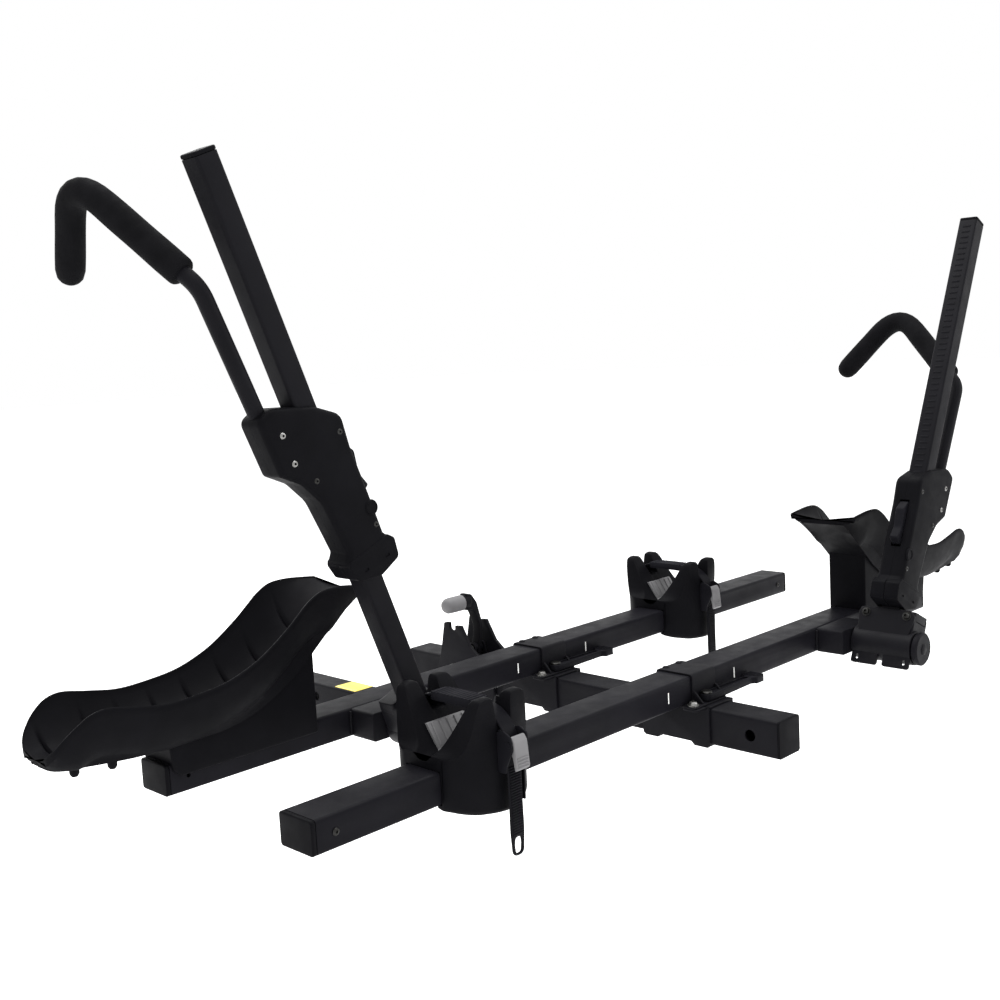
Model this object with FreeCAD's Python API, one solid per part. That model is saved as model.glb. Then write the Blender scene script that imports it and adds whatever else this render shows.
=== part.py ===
import FreeCAD, Part
import math
import os

os.makedirs("parts", exist_ok=True)

# Two-bike hitch rack, millimetres.  +X runs along the bike bars, +Y to the vehicle, +Z up.
# The origin is the centre of the hitch pin hole in the shank.
V = FreeCAD.Vector

# ---- driving dimensions ----
TUBE = 50.8                 # two-inch square tube of the shank and the spine
HALF = TUBE / 2
SHANK_WALL = 6.0
SPINE_WALL = 3.5
PIN_HOLE_R = 8.1            # five-eighths hitch pin
SHANK_FRONT = 78.0          # vehicle end of the shank
SHANK_REAR = -295.0
SPINE_Z = 104.6             # height of the spine's axis over the shank's axis
SPINE_FRONT = -275.0
SPINE_REAR = -999.0
ACCESSORY_HOLE_Y = SPINE_REAR + 45.0

TILT_Y = -392.0             # tilt pivot, on the spine's axis
TILT_BOLT_R = 8.0
CHEEK_GAP = 0.5             # between a cheek plate and the spine
CHEEK_T = 6.0
LOCK_R = 79.0               # radius of the lock notches about the tilt pivot
LOCK_PIN_R = 6.0
LOCK_OUT = 20.5             # how far the lock pin is drawn clear of the notches
LOCK_ANGLES = (90.0, 180.0, 210.0)
LEVER_Y = TILT_Y - 14.0     # tilt lever, on top of the spine
LEVER_Z = SPINE_Z + HALF + 13.0

BAR_Z = 133.4               # underside of the bars
BAR_W = 56.0
BAR_H = 38.0
BAR_WALL = 2.5
BAR_HALF = 673.0
CAP_SCREW_X = -BAR_HALF + 30  # at the end away from the scoop
BAR_FIT = 0.4               # running gap of what the bars slide in
GRIP_R = 13.0               # tilt lever's grip
STRAP_T = 2.5               # clamp band
STRAP_HALF = 27.0
SADDLE_T = 3.0
SADDLE_DROP = 58.0

PIVOT_X = 352.0             # arm pivot, from the middle of the bar
PIVOT_UP = 15.0             # arm pivot over the bar's underside
MAST_OFFSET = -123.0        # mast centre from the bar's centre
MAST = 30.0                 # square mast
MAST_WALL = 2.5
KNUCKLE_R = 26.0
KNUCKLE_HALF = 48.0
SHAFT_R = 12.0
HUB_R = 25.0                # disc that keeps the knuckle on its shaft
HUB_T = 9.0
HOUSING_HALF = 21.5
HOOK_R = 10.0
FOAM_R = 17.0

SCOOP_WALL = 5.0
CRADLE_HALF = 60.0
STRAP_W = 21.0

# The outer tray hangs furthest from the vehicle and its arm stands at +X; the inner tray is its mirror.
# side: +1 or -1, the end of the bar with the arm; lean: the arm's outward lean at rest, in degrees;
# hook: how far the hook housing stands from its middle height; cradle: the rear-wheel cradle's X.
TRAYS = (
    dict(name="outer", y=-834.0, side=1, lean=26.0, hook=-175.0, cradle=-434.0, mast=718.0),
    dict(name="inner", y=-555.0, side=-1, lean=21.0, hook=0.0, cradle=345.0, mast=758.0),
)


# ---- helpers ----
def save(node, *solids):
    """Write one node as STEP: a single solid, or a group of separate solids."""
    shape = solids[0] if len(solids) == 1 else Part.makeCompound(list(solids))
    shape.exportStep("parts/" + node + ".step")
    print(node, len(shape.Solids), round(shape.Volume / 1000, 1), shape.isValid())


def box(x0, x1, y0, y1, z0, z1):
    return Part.makeBox(x1 - x0, y1 - y0, z1 - z0, V(x0, y0, z0))


def cylinder(radius, start, end):
    axis = V(*end) - V(*start)
    return Part.makeCylinder(radius, axis.Length, V(*start), axis)


def outline(points, radius=0.0):
    """Closed flat outline in (a, b) with rounded corners; a point may carry its own radius."""
    corners = []
    for i, p in enumerate(points):
        prev = V(*points[i - 1][:2])
        here = V(*p[:2])
        after = V(*points[(i + 1) % len(points)][:2])
        r = p[2] if len(p) > 2 else radius
        back = (prev - here).normalize()
        ahead = (after - here).normalize()
        half = math.acos(max(-1.0, min(1.0, back.dot(ahead)))) / 2
        if r <= 0 or abs(half - math.pi / 2) < 0.01:
            corners.append((here, None, here))
            continue
        reach = r / math.tan(half)
        middle = here + (back + ahead).normalize() * (r / math.sin(half) - r)
        corners.append((here + back * reach, middle, here + ahead * reach))
    edges = []
    for i, (enter, middle, leave) in enumerate(corners):
        last = corners[i - 1][2]
        if (enter - last).Length > 1e-6:
            edges.append(Part.LineSegment(last, enter).toShape())
        if middle is not None:
            edges.append(Part.Arc(enter, middle, leave).toShape())
    return Part.Wire(edges)


def prism(points, across, low, high, radius=0.0):
    """Extrude an outline: across "Y" reads points as (x, z), "X" as (y, z), "Z" as (x, y)."""
    solid = Part.Face(outline(points, radius)).extrude(V(0, 0, high - low))
    if across == "Z":
        solid.translate(V(0, 0, low))
        return solid
    solid.rotate(V(0, 0, 0), V(1, 0, 0), 90)
    if across == "Y":
        solid.translate(V(0, high, 0))
        return solid
    solid.rotate(V(0, 0, 0), V(0, 0, 1), 90)
    solid.translate(V(low, 0, 0))
    return solid


def square_tube(half_y, half_z, wall, x0, x1, y, z, corner):
    """Rectangular tube along X."""
    outer = [(y - half_y, z - half_z), (y + half_y, z - half_z), (y + half_y, z + half_z), (y - half_y, z + half_z)]
    hy, hz = half_y - wall, half_z - wall
    inner = [(y - hy, z - hz), (y + hy, z - hz), (y + hy, z + hz), (y - hy, z + hz)]
    tube = prism(outer, "X", x0, x1, corner)
    return tube.cut(prism(inner, "X", x0 - 1, x1 + 1, max(corner - wall, 0.5)))


def along_y(solid, y0):
    """Turn a tube made along X so that it starts at y0 and runs to +Y on the middle plane."""
    solid.rotate(V(0, 0, 0), V(0, 0, 1), 90)
    solid.translate(V(0, y0, 0))
    return solid


def swept(points, bend, radius):
    """Round rod along straight runs joined by tangent arcs."""
    edges = []
    last = V(*points[0])
    for i in range(1, len(points) - 1):
        here = V(*points[i])
        back = (V(*points[i - 1]) - here).normalize()
        ahead = (V(*points[i + 1]) - here).normalize()
        half = math.acos(back.dot(ahead)) / 2
        reach = bend / math.tan(half)
        middle = here + (back + ahead).normalize() * (bend / math.sin(half) - bend)
        enter, leave = here + back * reach, here + ahead * reach
        edges.append(Part.LineSegment(last, enter).toShape())
        edges.append(Part.Arc(enter, middle, leave).toShape())
        last = leave
    edges.append(Part.LineSegment(last, V(*points[-1])).toShape())
    start = V(*points[0])
    profile = Part.Wire([Part.makeCircle(radius, start, V(*points[1]) - start)])
    return Part.Wire(edges).makePipeShell([profile], True, False)


def on_arm(solid, tray):
    """Place a piece drawn on an upright arm (x outward, z up the mast) on its tray."""
    if tray["side"] < 0:
        solid = solid.mirror(V(0, 0, 0), V(1, 0, 0))
    solid.rotate(V(0, 0, 0), V(0, 1, 0), tray["side"] * tray["lean"])
    solid.translate(V(tray["side"] * PIVOT_X, tray["y"] + MAST_OFFSET, BAR_Z + PIVOT_UP))
    return solid


def on_tray(solid, tray):
    """Place a piece drawn at the +X end of a bar centred on the origin with its underside at z = 0."""
    if tray["side"] < 0:
        solid = solid.mirror(V(0, 0, 0), V(1, 0, 0))
    solid.translate(V(0, tray["y"], BAR_Z))
    return solid


# ---- hitch shank and tilt cheeks ----
def hitch_shank():
    tube = square_tube(HALF, HALF, SHANK_WALL, 0, SHANK_FRONT - SHANK_REAR, 0, 0, 4)
    tube = along_y(tube, SHANK_REAR)
    pads = box(-HALF - CHEEK_GAP, -HALF + 1, SHANK_REAR + 2, -180, -16, 16)
    tube = tube.fuse([pads, pads.mirror(V(0, 0, 0), V(1, 0, 0))])
    tube = tube.cut(cylinder(PIN_HOLE_R, (-60, 0, 0), (60, 0, 0)))
    return tube.cut(box(-30, 30, SHANK_REAR - 1, SHANK_REAR - 0.5, -30, 30))


def cheek(side):
    """Plate welded to the shank's side; its rim carries the lock notches."""
    rim = [
        (TILT_Y + 17, SPINE_Z + 87, 3), (TILT_Y + 30, SPINE_Z + 38), (TILT_Y + 46, SPINE_Z - 12, 14),
        (TILT_Y + 112, SPINE_Z - 62, 18), (TILT_Y + 210, SPINE_Z - 88, 10), (TILT_Y + 210, -21, 6),
        (SHANK_REAR + 2, -21, 14), (TILT_Y - 20, SPINE_Z - 76, 20), (TILT_Y - 74, SPINE_Z - 54, 8),
        (TILT_Y - 88, SPINE_Z - 26, 8), (TILT_Y - 90, SPINE_Z + 14, 8), (TILT_Y - 51, SPINE_Z + 42, 8),
        (TILT_Y - 21, SPINE_Z + 85, 3),
    ]
    x0, x1 = HALF + CHEEK_GAP, HALF + CHEEK_GAP + CHEEK_T
    plate = prism(rim, "X", x0, x1)
    plate = plate.cut(cylinder(TILT_BOLT_R + 0.05, (x0 - 1, TILT_Y, SPINE_Z), (x1 + 1, TILT_Y, SPINE_Z)))
    half = LOCK_PIN_R + 0.6
    for angle in LOCK_ANGLES:
        notch = cylinder(half, (x0 - 1, LOCK_R, 0), (x1 + 1, LOCK_R, 0))
        notch = notch.fuse(box(x0 - 1, x1 + 1, LOCK_R, LOCK_R + 40, -half, half))
        notch.rotate(V(0, 0, 0), V(1, 0, 0), angle)
        notch.translate(V(0, TILT_Y, SPINE_Z))
        plate = plate.cut(notch)
    if side < 0:
        plate = plate.mirror(V(0, 0, 0), V(1, 0, 0))
    return plate


def hex_prism(across, start, end):
    """Hexagon head or nut of a given width across its corners, between two points along X."""
    points = [(across / 2 * math.cos(math.radians(60 * k)), across / 2 * math.sin(math.radians(60 * k)))
              for k in range(6)]
    head = prism(points, "X", start[0], end[0])
    head.translate(V(0, start[1], start[2]))
    return head


def tilt_bolt():
    outside = HALF + CHEEK_GAP + CHEEK_T
    shaft = cylinder(TILT_BOLT_R, (-outside - 2, TILT_Y, SPINE_Z), (outside + 14, TILT_Y, SPINE_Z))
    return shaft.fuse(hex_prism(27, (-outside - 11, TILT_Y, SPINE_Z), (-outside - 0.1, TILT_Y, SPINE_Z)))


def tilt_nut():
    outside = HALF + CHEEK_GAP + CHEEK_T
    nut = hex_prism(27, (outside + 0.1, TILT_Y, SPINE_Z), (outside + 12, TILT_Y, SPINE_Z))
    return nut.cut(cylinder(TILT_BOLT_R, (outside - 1, TILT_Y, SPINE_Z), (outside + 20, TILT_Y, SPINE_Z)))


def label_plate():
    return box(-21, 21, -112, -52, HALF, HALF + 0.6)


# ---- spine, tilt lock and clamps ----
def spine_tube():
    """Tube of the spine, with the two ears that carry the tilt lever welded on top."""
    tube = square_tube(HALF, HALF, SPINE_WALL, 0, SPINE_FRONT - SPINE_REAR - 6, 0, 0, 4)
    tube = along_y(tube, SPINE_REAR + 3)
    tube.translate(V(0, 0, SPINE_Z))
    ears = []
    for x in (-5, 17):
        y, z = LEVER_Y, SPINE_Z + HALF
        ears.append(prism([(y - 13, z - 1), (y + 13, z - 1), (y + 8, z + 22, 7), (y - 8, z + 22, 7)], "X", x, x + 3))
    tube = tube.fuse(ears)
    tube = tube.cut(cylinder(PIN_HOLE_R, (-60, ACCESSORY_HOLE_Y, SPINE_Z), (60, ACCESSORY_HOLE_Y, SPINE_Z)))
    tube = tube.cut(cylinder(TILT_BOLT_R + 0.05, (-60, TILT_Y, SPINE_Z), (60, TILT_Y, SPINE_Z)))
    half = LOCK_PIN_R + 0.4
    slot = box(-40, 40, TILT_Y - LOCK_R - LOCK_OUT, TILT_Y - LOCK_R, SPINE_Z - half, SPINE_Z + half)
    for y in (TILT_Y - LOCK_R - LOCK_OUT, TILT_Y - LOCK_R):
        slot = slot.fuse(cylinder(half, (-40, y, SPINE_Z), (40, y, SPINE_Z)))
    tube = tube.cut(slot)
    return tube.cut(cylinder(4.0, (-20, LEVER_Y, LEVER_Z), (40, LEVER_Y, LEVER_Z)))


def spine_cap(y0, y1):
    cap = prism([(-HALF, SPINE_Z - HALF), (HALF, SPINE_Z - HALF), (HALF, SPINE_Z + HALF), (-HALF, SPINE_Z + HALF)],
                "Y", y0, y1, 4)
    return cap


def lock_pin():
    y = TILT_Y - LOCK_R - LOCK_OUT
    reach = HALF + CHEEK_GAP + CHEEK_T + 5
    return cylinder(LOCK_PIN_R, (-reach, y, SPINE_Z), (reach, y, SPINE_Z))


def lever_axle():
    shaft = cylinder(4.0, (-5, LEVER_Y, LEVER_Z), (20, LEVER_Y, LEVER_Z))
    heads = [cylinder(6.5, (x, LEVER_Y, LEVER_Z), (x + 2, LEVER_Y, LEVER_Z)) for x in (-7, 20)]
    return shaft.fuse(heads)


def tilt_lever():
    """Strap that stands between the ears, leans to the left and carries the grip on its bent end."""
    foot = SPINE_Z + HALF
    blade = prism([(3, foot + 4, 2), (9, foot + 4, 2), (17.5, foot + 50, 30), (6, foot + 88, 10), (-8, foot + 103, 8),
                   (-16, foot + 104), (-16, foot + 82), (-1, foot + 80, 4), (12, foot + 48, 30)],
                  "Y", LEVER_Y - 8.5, LEVER_Y + 8.5)
    boss = cylinder(7.5, (-1.5, LEVER_Y, LEVER_Z), (16.5, LEVER_Y, LEVER_Z))
    tang = box(-52, -15, LEVER_Y - 5, LEVER_Y + 5, foot + 88, foot + 98)
    lever = blade.fuse([boss, tang])
    return lever.cut(cylinder(4.05, (-10, LEVER_Y, LEVER_Z), (30, LEVER_Y, LEVER_Z)))


def lever_grip():
    y, z = LEVER_Y, SPINE_Z + HALF + 93
    grip = cylinder(GRIP_R, (-60, y, z), (-16.2, y, z))
    rim = [e for e in grip.Edges if e.CenterOfMass.x < -59 and abs(e.Length - 2 * math.pi * GRIP_R) < 1]
    grip = grip.makeFillet(6, rim)
    return grip.cut(box(-52, 0, y - 5, y + 5, z - 5, z + 5))


def saddle(tray):
    """Folded bracket that hugs the spine; its top plate carries the bar and the clamp's feet."""
    y0, y1 = tray["y"] - 58, tray["y"] + 56
    top, low = BAR_Z - BAR_FIT, BAR_Z - SADDLE_DROP
    plate = box(-HALF - 4, HALF + 4, y0, y1, top - SADDLE_T, top)
    wing = box(-50, -HALF, tray["y"] - 52, tray["y"] - 28, top - SADDLE_T, top)
    side = prism([(y0, top), (y1, top), (y1, low + 3), (y1 - 4, low), (y1 - 26, low), (y1 - 31, low + 5),
                  (y0 + 31, low + 5), (y0 + 26, low), (y0 + 4, low), (y0, low + 3)], "X", HALF, HALF + 4)
    tabs = [box(HALF - 12, HALF + 1, a, b, low, low + 3) for a, b in ((y0 + 4, y0 + 26), (y1 - 26, y1 - 4))]
    left = [s.mirror(V(0, 0, 0), V(1, 0, 0)) for s in [side] + tabs]
    return plate.fuse([wing, side] + tabs + left).removeSplitter()


def clamp_band(tray):
    """Band over the bar, hooked behind it and with a foot in front for the clamp lever."""
    y = tray["y"]
    half, top = BAR_W / 2 + BAR_FIT, BAR_H + 2 * BAR_FIT
    foot = BAR_Z - BAR_FIT
    points = [(-half, 0, 0), (-half, top, 3), (half, top, 3), (half, 0, 0), (half + 12, 0, 0),
              (half + 12, STRAP_T, 0), (half + STRAP_T, STRAP_T, 1), (half + STRAP_T, top + STRAP_T, 5),
              (-half - STRAP_T, top + STRAP_T, 5), (-half - STRAP_T, STRAP_T, 0), (-half - STRAP_T, 0, 0)]
    band = prism(points, "X", -STRAP_HALF, STRAP_HALF)
    lug = prism([(-50, -half - 22, 6), (STRAP_HALF, -half - 22, 6), (STRAP_HALF, -half, 0), (-50, -half, 0)],
                "Z", 0, STRAP_T)
    band = band.fuse(lug).removeSplitter()
    band.translate(V(0, y, foot))
    return band


def clamp_studs(tray):
    """Two bolts through the far foot, one through the wing and the stud the clamp lever turns on."""
    y, z = tray["y"], BAR_Z - BAR_FIT + STRAP_T
    far, near = y + BAR_W / 2 + BAR_FIT + 7, y - BAR_W / 2 - BAR_FIT - 12
    bolts = [cylinder(4, (x, far, z), (x, far, z + 4)) for x in (-15, 15)]
    side = cylinder(7, (-40, near, z), (-40, near, z + 6))
    stud = cylinder(5, (-8, near, z), (-8, near, z + 14))
    return bolts + [side, stud]


def clamp_lever(tray):
    """Cam lever with a cross-bar end."""
    y = tray["y"] - BAR_W / 2 - BAR_FIT - 12
    z = BAR_Z - BAR_FIT + STRAP_T + 0.5
    arm = prism([(-16.5, y - 8.5, 8), (-16.5, y + 8.5, 8), (20, y + 8, 10), (94, y + 5, 3), (96, y + 10.5, 3),
                 (114, y + 11, 5), (116, y - 14, 5), (97, y - 14, 3), (93, y - 8, 3), (20, y - 10, 10)], "Z", z, z + 10)
    return arm.cut(cylinder(5.06, (-8, y, z - 1), (-8, y, z + 30)))


# ---- bar, stub and scoop of a tray ----
def bar(tray):
    tube = square_tube(BAR_W / 2, BAR_H / 2, BAR_WALL, -BAR_HALF + 6, BAR_HALF - 6, 0, BAR_H / 2, 5)
    tube = tube.cut(cylinder(2.6, (CAP_SCREW_X, -40, BAR_H / 2), (CAP_SCREW_X, 0, BAR_H / 2)))
    return on_tray(tube, tray)


def bar_caps(tray):
    caps = []
    for end in (-1, 1):
        x0, x1 = sorted((end * BAR_HALF, end * (BAR_HALF - 6)))
        face = [(-BAR_W / 2, 0), (BAR_W / 2, 0), (BAR_W / 2, BAR_H), (-BAR_W / 2, BAR_H)]
        plug = [(-BAR_W / 2 + 3, 3), (BAR_W / 2 - 3, 3), (BAR_W / 2 - 3, BAR_H - 3), (-BAR_W / 2 + 3, BAR_H - 3)]
        cap = prism(face, "X", x0, x1, 5)
        p0, p1 = sorted((end * (BAR_HALF - 6), end * (BAR_HALF - 42)))
        cap = cap.fuse(prism(plug, "X", p0, p1, 3))
        cap = cap.cut(cylinder(2.0, (CAP_SCREW_X, -40, BAR_H / 2), (CAP_SCREW_X, 0, BAR_H / 2)))
        caps.append(on_tray(cap, tray))
    return caps


def cap_screw(tray):
    """Cap screw in the near face of the bar; the scoop's pedestal covers the other end."""
    shaft = cylinder(2.0, (CAP_SCREW_X, -BAR_W / 2, BAR_H / 2), (CAP_SCREW_X, -10, BAR_H / 2))
    head = cylinder(5.0, (CAP_SCREW_X, -BAR_W / 2 - 2.5, BAR_H / 2), (CAP_SCREW_X, -BAR_W / 2, BAR_H / 2))
    return on_tray(shaft.fuse(head), tray)


def arm_stub():
    """Box section welded to the bar's near face, with the shaft and end hub that the arm turns on."""
    y0, y1 = MAST_OFFSET - KNUCKLE_HALF - 2, MAST_OFFSET + KNUCKLE_HALF + 2
    block = prism([(PIVOT_X - 46, 0), (PIVOT_X + 46, 0), (PIVOT_X + 46, BAR_H), (PIVOT_X - 46, BAR_H)],
                  "Y", y1, -BAR_W / 2, 4)
    shaft = cylinder(SHAFT_R, (PIVOT_X, y0, PIVOT_UP), (PIVOT_X, y1, PIVOT_UP))
    hub = cylinder(HUB_R, (PIVOT_X, y0 - HUB_T, PIVOT_UP), (PIVOT_X, y0, PIVOT_UP))
    hub = hub.makeFillet(3, [e for e in hub.Edges if e.CenterOfMass.y < y0 - HUB_T + 1])
    return block.fuse([shaft, hub]).removeSplitter()


SCOOP_RIM = [(385, 196), (398, 206), (446, 209), (475, 194), (506, 160), (566, 136), (625, 121), (680, 118),
             (768, 134), (803, 119), (812, 104), (812, 90)]
SCOOP_FLOOR = [(385, 188), (430, 168), (475, 138), (520, 112), (575, 95), (640, 86), (720, 88), (790, 96)]
SCOOP_UNDER = [(804, 82), (740, 66), (700, 60), (600, 58), (520, 84), (458, 132), (432, 150), (392, 184)]


def scoop(tray):
    """Moulded front-wheel scoop: a channel that climbs towards the arm, on a pedestal over the bar end."""
    side = prism(SCOOP_RIM + SCOOP_UNDER, "Y", -76, 76)
    plan = prism([(380, -57), (770, -57, 20), (812, -42, 20), (812, 42, 20), (770, 57, 20), (380, 57)], "Z", 0, 260)
    shell = side.common(plan)
    inner = prism([(370, -52), (770, -52, 16), (806, -38, 16), (806, 38, 16), (770, 52, 16), (370, 52)], "Z", 0, 300)
    trough = prism([(370, 260), (370, 194)] + SCOOP_FLOOR + [(806, 102), (806, 260)], "Y", -60, 60)
    shell = shell.cut(trough.common(inner))
    wide = BAR_W / 2 + 5
    foot = prism([(455, 22), (662, 22), (668, 66), (600, 62), (520, 86), (455, 132)], "Y", -wide, wide)
    hollow = prism([(460, 43), (656, 43), (662, 58), (600, 57), (520, 79), (460, 122)], "Y", -wide + 5, wide - 5)
    foot = foot.cut(hollow)
    bar_space = box(400, BAR_HALF + 10, -BAR_W / 2, BAR_W / 2, -5, BAR_H)
    body = shell.fuse(foot).cut(bar_space).removeSplitter()
    for x in (490, 640):
        body = body.cut(cylinder(3.2, (x, BAR_W / 2, 28), (x, BAR_W / 2 + 5, 28)))
        body = body.cut(cylinder(7.5, (x, BAR_W / 2 + 5, 28), (x, 62, 28)))
    return on_tray(body, tray)


def scoop_screws(tray):
    screws = []
    y = BAR_W / 2 + 5
    for x in (490, 640):
        shaft = cylinder(3.0, (x, BAR_W / 2, 28), (x, y, 28))
        head = cylinder(6.5, (x, y, 28), (x, y + 3, 28))
        screws.append(on_tray(shaft.fuse(head), tray))
    return screws


# ---- arm, drawn upright about its pivot ----
def knuckle(tray):
    """Casting that turns on the pivot shaft and holds the foot of the mast."""
    k = KNUCKLE_HALF
    barrel = cylinder(KNUCKLE_R, (0, -k, 0), (0, k, 0))
    socket = prism([(-24, 2), (24, 2), (24, 44, 8), (18, 52, 6), (-24, 52, 4)], "Y", -k + 3, k - 3)
    tabs = [box(-25, -19, y0, y1, -36, -6) for y0, y1 in ((-k, -5), (4, k - 2))]
    body = barrel.fuse([socket] + tabs)
    m = MAST / 2
    body = body.cut(box(-m, m, -m, m, 30, 80))
    body = body.cut(cylinder(SHAFT_R + 0.05, (0, -k - 1, 0), (0, k + 1, 0)))
    return on_arm(body.removeSplitter(), tray)


def knuckle_bolts(tray):
    heads = [cylinder(6, (-28, y, 42), (-24, y, 42)) for y in (-32, 32)]
    return [on_arm(h, tray) for h in heads]


def mast(tray):
    m = MAST / 2
    tube = prism([(-m, -m), (m, -m), (m, m), (-m, m)], "Z", 30, tray["mast"], 4)
    i = m - MAST_WALL
    tube = tube.cut(prism([(-i, -i), (i, -i), (i, i), (-i, i)], "Z", 32, tray["mast"] + 1, 2))
    return on_arm(tube, tray)


def mast_cap(tray):
    m = MAST / 2
    cap = prism([(-m, -m), (m, -m), (m, m), (-m, m)], "Z", tray["mast"], tray["mast"] + 5, 4)
    i = m - MAST_WALL - 0.1
    plug = prism([(-i, -i), (i, -i), (i, i), (-i, i)], "Z", tray["mast"] - 18, tray["mast"], 2)
    return on_arm(cap.fuse(plug), tray)


# ---- hook housing, drawn at its middle height ----
HOUSING = [(71, 474, 10), (69, 404, 8), (44, 378, 20), (29, 348, 30), (24, 285), (30, 272, 5), (23, 246, 8),
           (-9, 233), (-40, 240, 8), (-42, 262, 5), (-36, 274), (-35, 392), (-38, 432, 16), (-5, 458), (48, 480)]


def housing_outline(tray):
    shift = tray["hook"]
    return [(p[0], p[1] + shift) + tuple(p[2:]) for p in HOUSING]


def housing_shell(tray, near):
    """Half of the moulded casing; the mast runs up its channel and the hook rod is held in its outer edge."""
    y0, y1 = (-HOUSING_HALF, 0.0) if near else (0.0, HOUSING_HALF)
    shift = tray["hook"]
    shell = prism(housing_outline(tray), "Y", y0, y1)
    gap = MAST / 2 + 0.5
    shell = shell.cut(box(-gap, gap, -gap, gap, shift + 200, shift + 520))
    shell = shell.cut(cylinder(HOOK_R + 0.1, (54, 0, shift + 412), (62, 0, shift + 630)))
    trigger_bay = box(-50, -14, -8, 8, shift + 322, shift + 398)
    shell = shell.cut(trigger_bay)
    return on_arm(shell, tray)


def housing_screws(tray):
    shift = tray["hook"]
    heads = []
    for x, z in ((48, 446), (46, 412), (28, 380), (-26, 418), (-26, 290)):
        y = -HOUSING_HALF - 1.2
        heads.append(on_arm(cylinder(4.5, (x, y, z + shift), (x, -HOUSING_HALF, z + shift)), tray))
    return heads


def release_trigger(tray):
    """Paddle in the housing's inboard edge; pulling it in frees the pawl from the mast."""
    shift = tray["hook"]
    paddle = prism([(-23, 330), (-23, 390), (-36, 388, 4), (-46, 376, 6), (-43, 334, 3), (-34, 326, 3)], "Y", -7, 7)
    paddle.translate(V(0, 0, shift))
    return on_arm(paddle, tray)


def hook_points(shift):
    """Centre line of the hook: up beside the mast, over the wheel, then down past it."""
    return [(54, 0, shift + 412), (62, 0, shift + 630), (76, 140, shift + 780), (83, 222, shift + 672)]


def hook_rod(tray):
    points = hook_points(tray["hook"])
    tip = V(*points[3]) - V(*points[2])
    points[3] = tuple(V(*points[3]) - tip.normalize() * 12)
    return on_arm(swept(points, 34, HOOK_R), tray)


def hook_foam(tray):
    points = hook_points(tray["hook"])
    first, second = V(*points[1]), V(*points[2])
    start = first + (second - first).normalize() * 26
    path = [tuple(start), points[2], points[3]]
    foam = swept(path, 34, FOAM_R)
    tip = V(*points[3])
    foam = foam.fuse(Part.makeSphere(FOAM_R, tip))
    core = swept(hook_points(tray["hook"])[:3] + [tuple(tip - (tip - second).normalize() * 12)], 34, HOOK_R)
    return on_arm(foam.cut(core), tray)


# ---- rear-wheel cradle, drawn on a bar centred on the origin ----
def cradle(tray):
    """V-shaped saddle that wraps the bar; each side has two horns with the strap's notch between."""
    f = BAR_W / 2 + BAR_FIT
    section = [(-f - 8, -12, 4), (-52, 20, 40), (-63, 72, 60), (-70, 124, 3), (-61, 128, 3), (-52, 98, 20),
               (-9, 54, 8), (9, 54, 8), (52, 98, 20), (61, 128, 3), (70, 124, 3), (63, 72, 60), (52, 20, 40),
               (f + 8, -12, 4), (f - 7, -12, 2), (f - 7, -6.5), (f, -BAR_FIT), (f, BAR_H + BAR_FIT),
               (-f, BAR_H + BAR_FIT), (-f, -BAR_FIT), (-f + 7, -6.5), (-f + 7, -12, 2)]
    body = prism(section, "X", -CRADLE_HALF, CRADLE_HALF)
    side = prism([(-60, -14), (60, -14), (60, 40, 10), (45, 130, 4), (15, 130, 4), (10, 88, 8), (-10, 88, 8),
                  (-15, 130, 4), (-45, 130, 4), (-60, 40, 10)], "Y", -90, 90)
    body = body.common(side)
    body = body.cut(ribbon(STRAP_LINE, 4.0, -STRAP_W / 2 - 0.5, STRAP_W / 2 + 0.5))
    body.translate(V(tray["cradle"], tray["y"], BAR_Z))
    return body


STRAP_LINE = [(66, 78), (62, 92), (48, 103), (-48, 103), (-64, 94), (-76, 82), (-81, 40), (-82, -64)]


def ribbon(points, thick, x0, x1):
    """Flat strip of even thickness along a line in (y, z)."""
    left, right = [], []
    for i, p in enumerate(points):
        a = V(*points[max(i - 1, 0)])
        b = V(*points[min(i + 1, len(points) - 1)])
        along = (b - a).normalize()
        side = V(-along.y, along.x, 0) * (thick / 2)
        left.append((p[0] + side.x, p[1] + side.y))
        right.append((p[0] - side.x, p[1] - side.y))
    return prism(left + right[::-1], "X", x0, x1)


def strap(tray):
    strip = ribbon(STRAP_LINE, 3.0, -STRAP_W / 2, STRAP_W / 2)
    slot = prism([(-4.5, -60, 4), (4.5, -60, 4), (4.5, -44, 4), (-4.5, -44, 4)], "Y", -95, -70)
    strip = strip.cut(slot)
    strip.translate(V(tray["cradle"], tray["y"], BAR_Z))
    return strip


def strap_pad(tray):
    """Sleeve over the strap where it presses on the wheel rim."""
    sleeve = prism([(-14, 97, 4), (14, 97, 4), (14, 109, 5), (-14, 109, 5)], "Y", -36, 38)
    sleeve = sleeve.cut(ribbon(STRAP_LINE, 3.6, -STRAP_W / 2 - 0.3, STRAP_W / 2 + 0.3))
    sleeve.translate(V(tray["cradle"], tray["y"], BAR_Z))
    return sleeve


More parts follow.
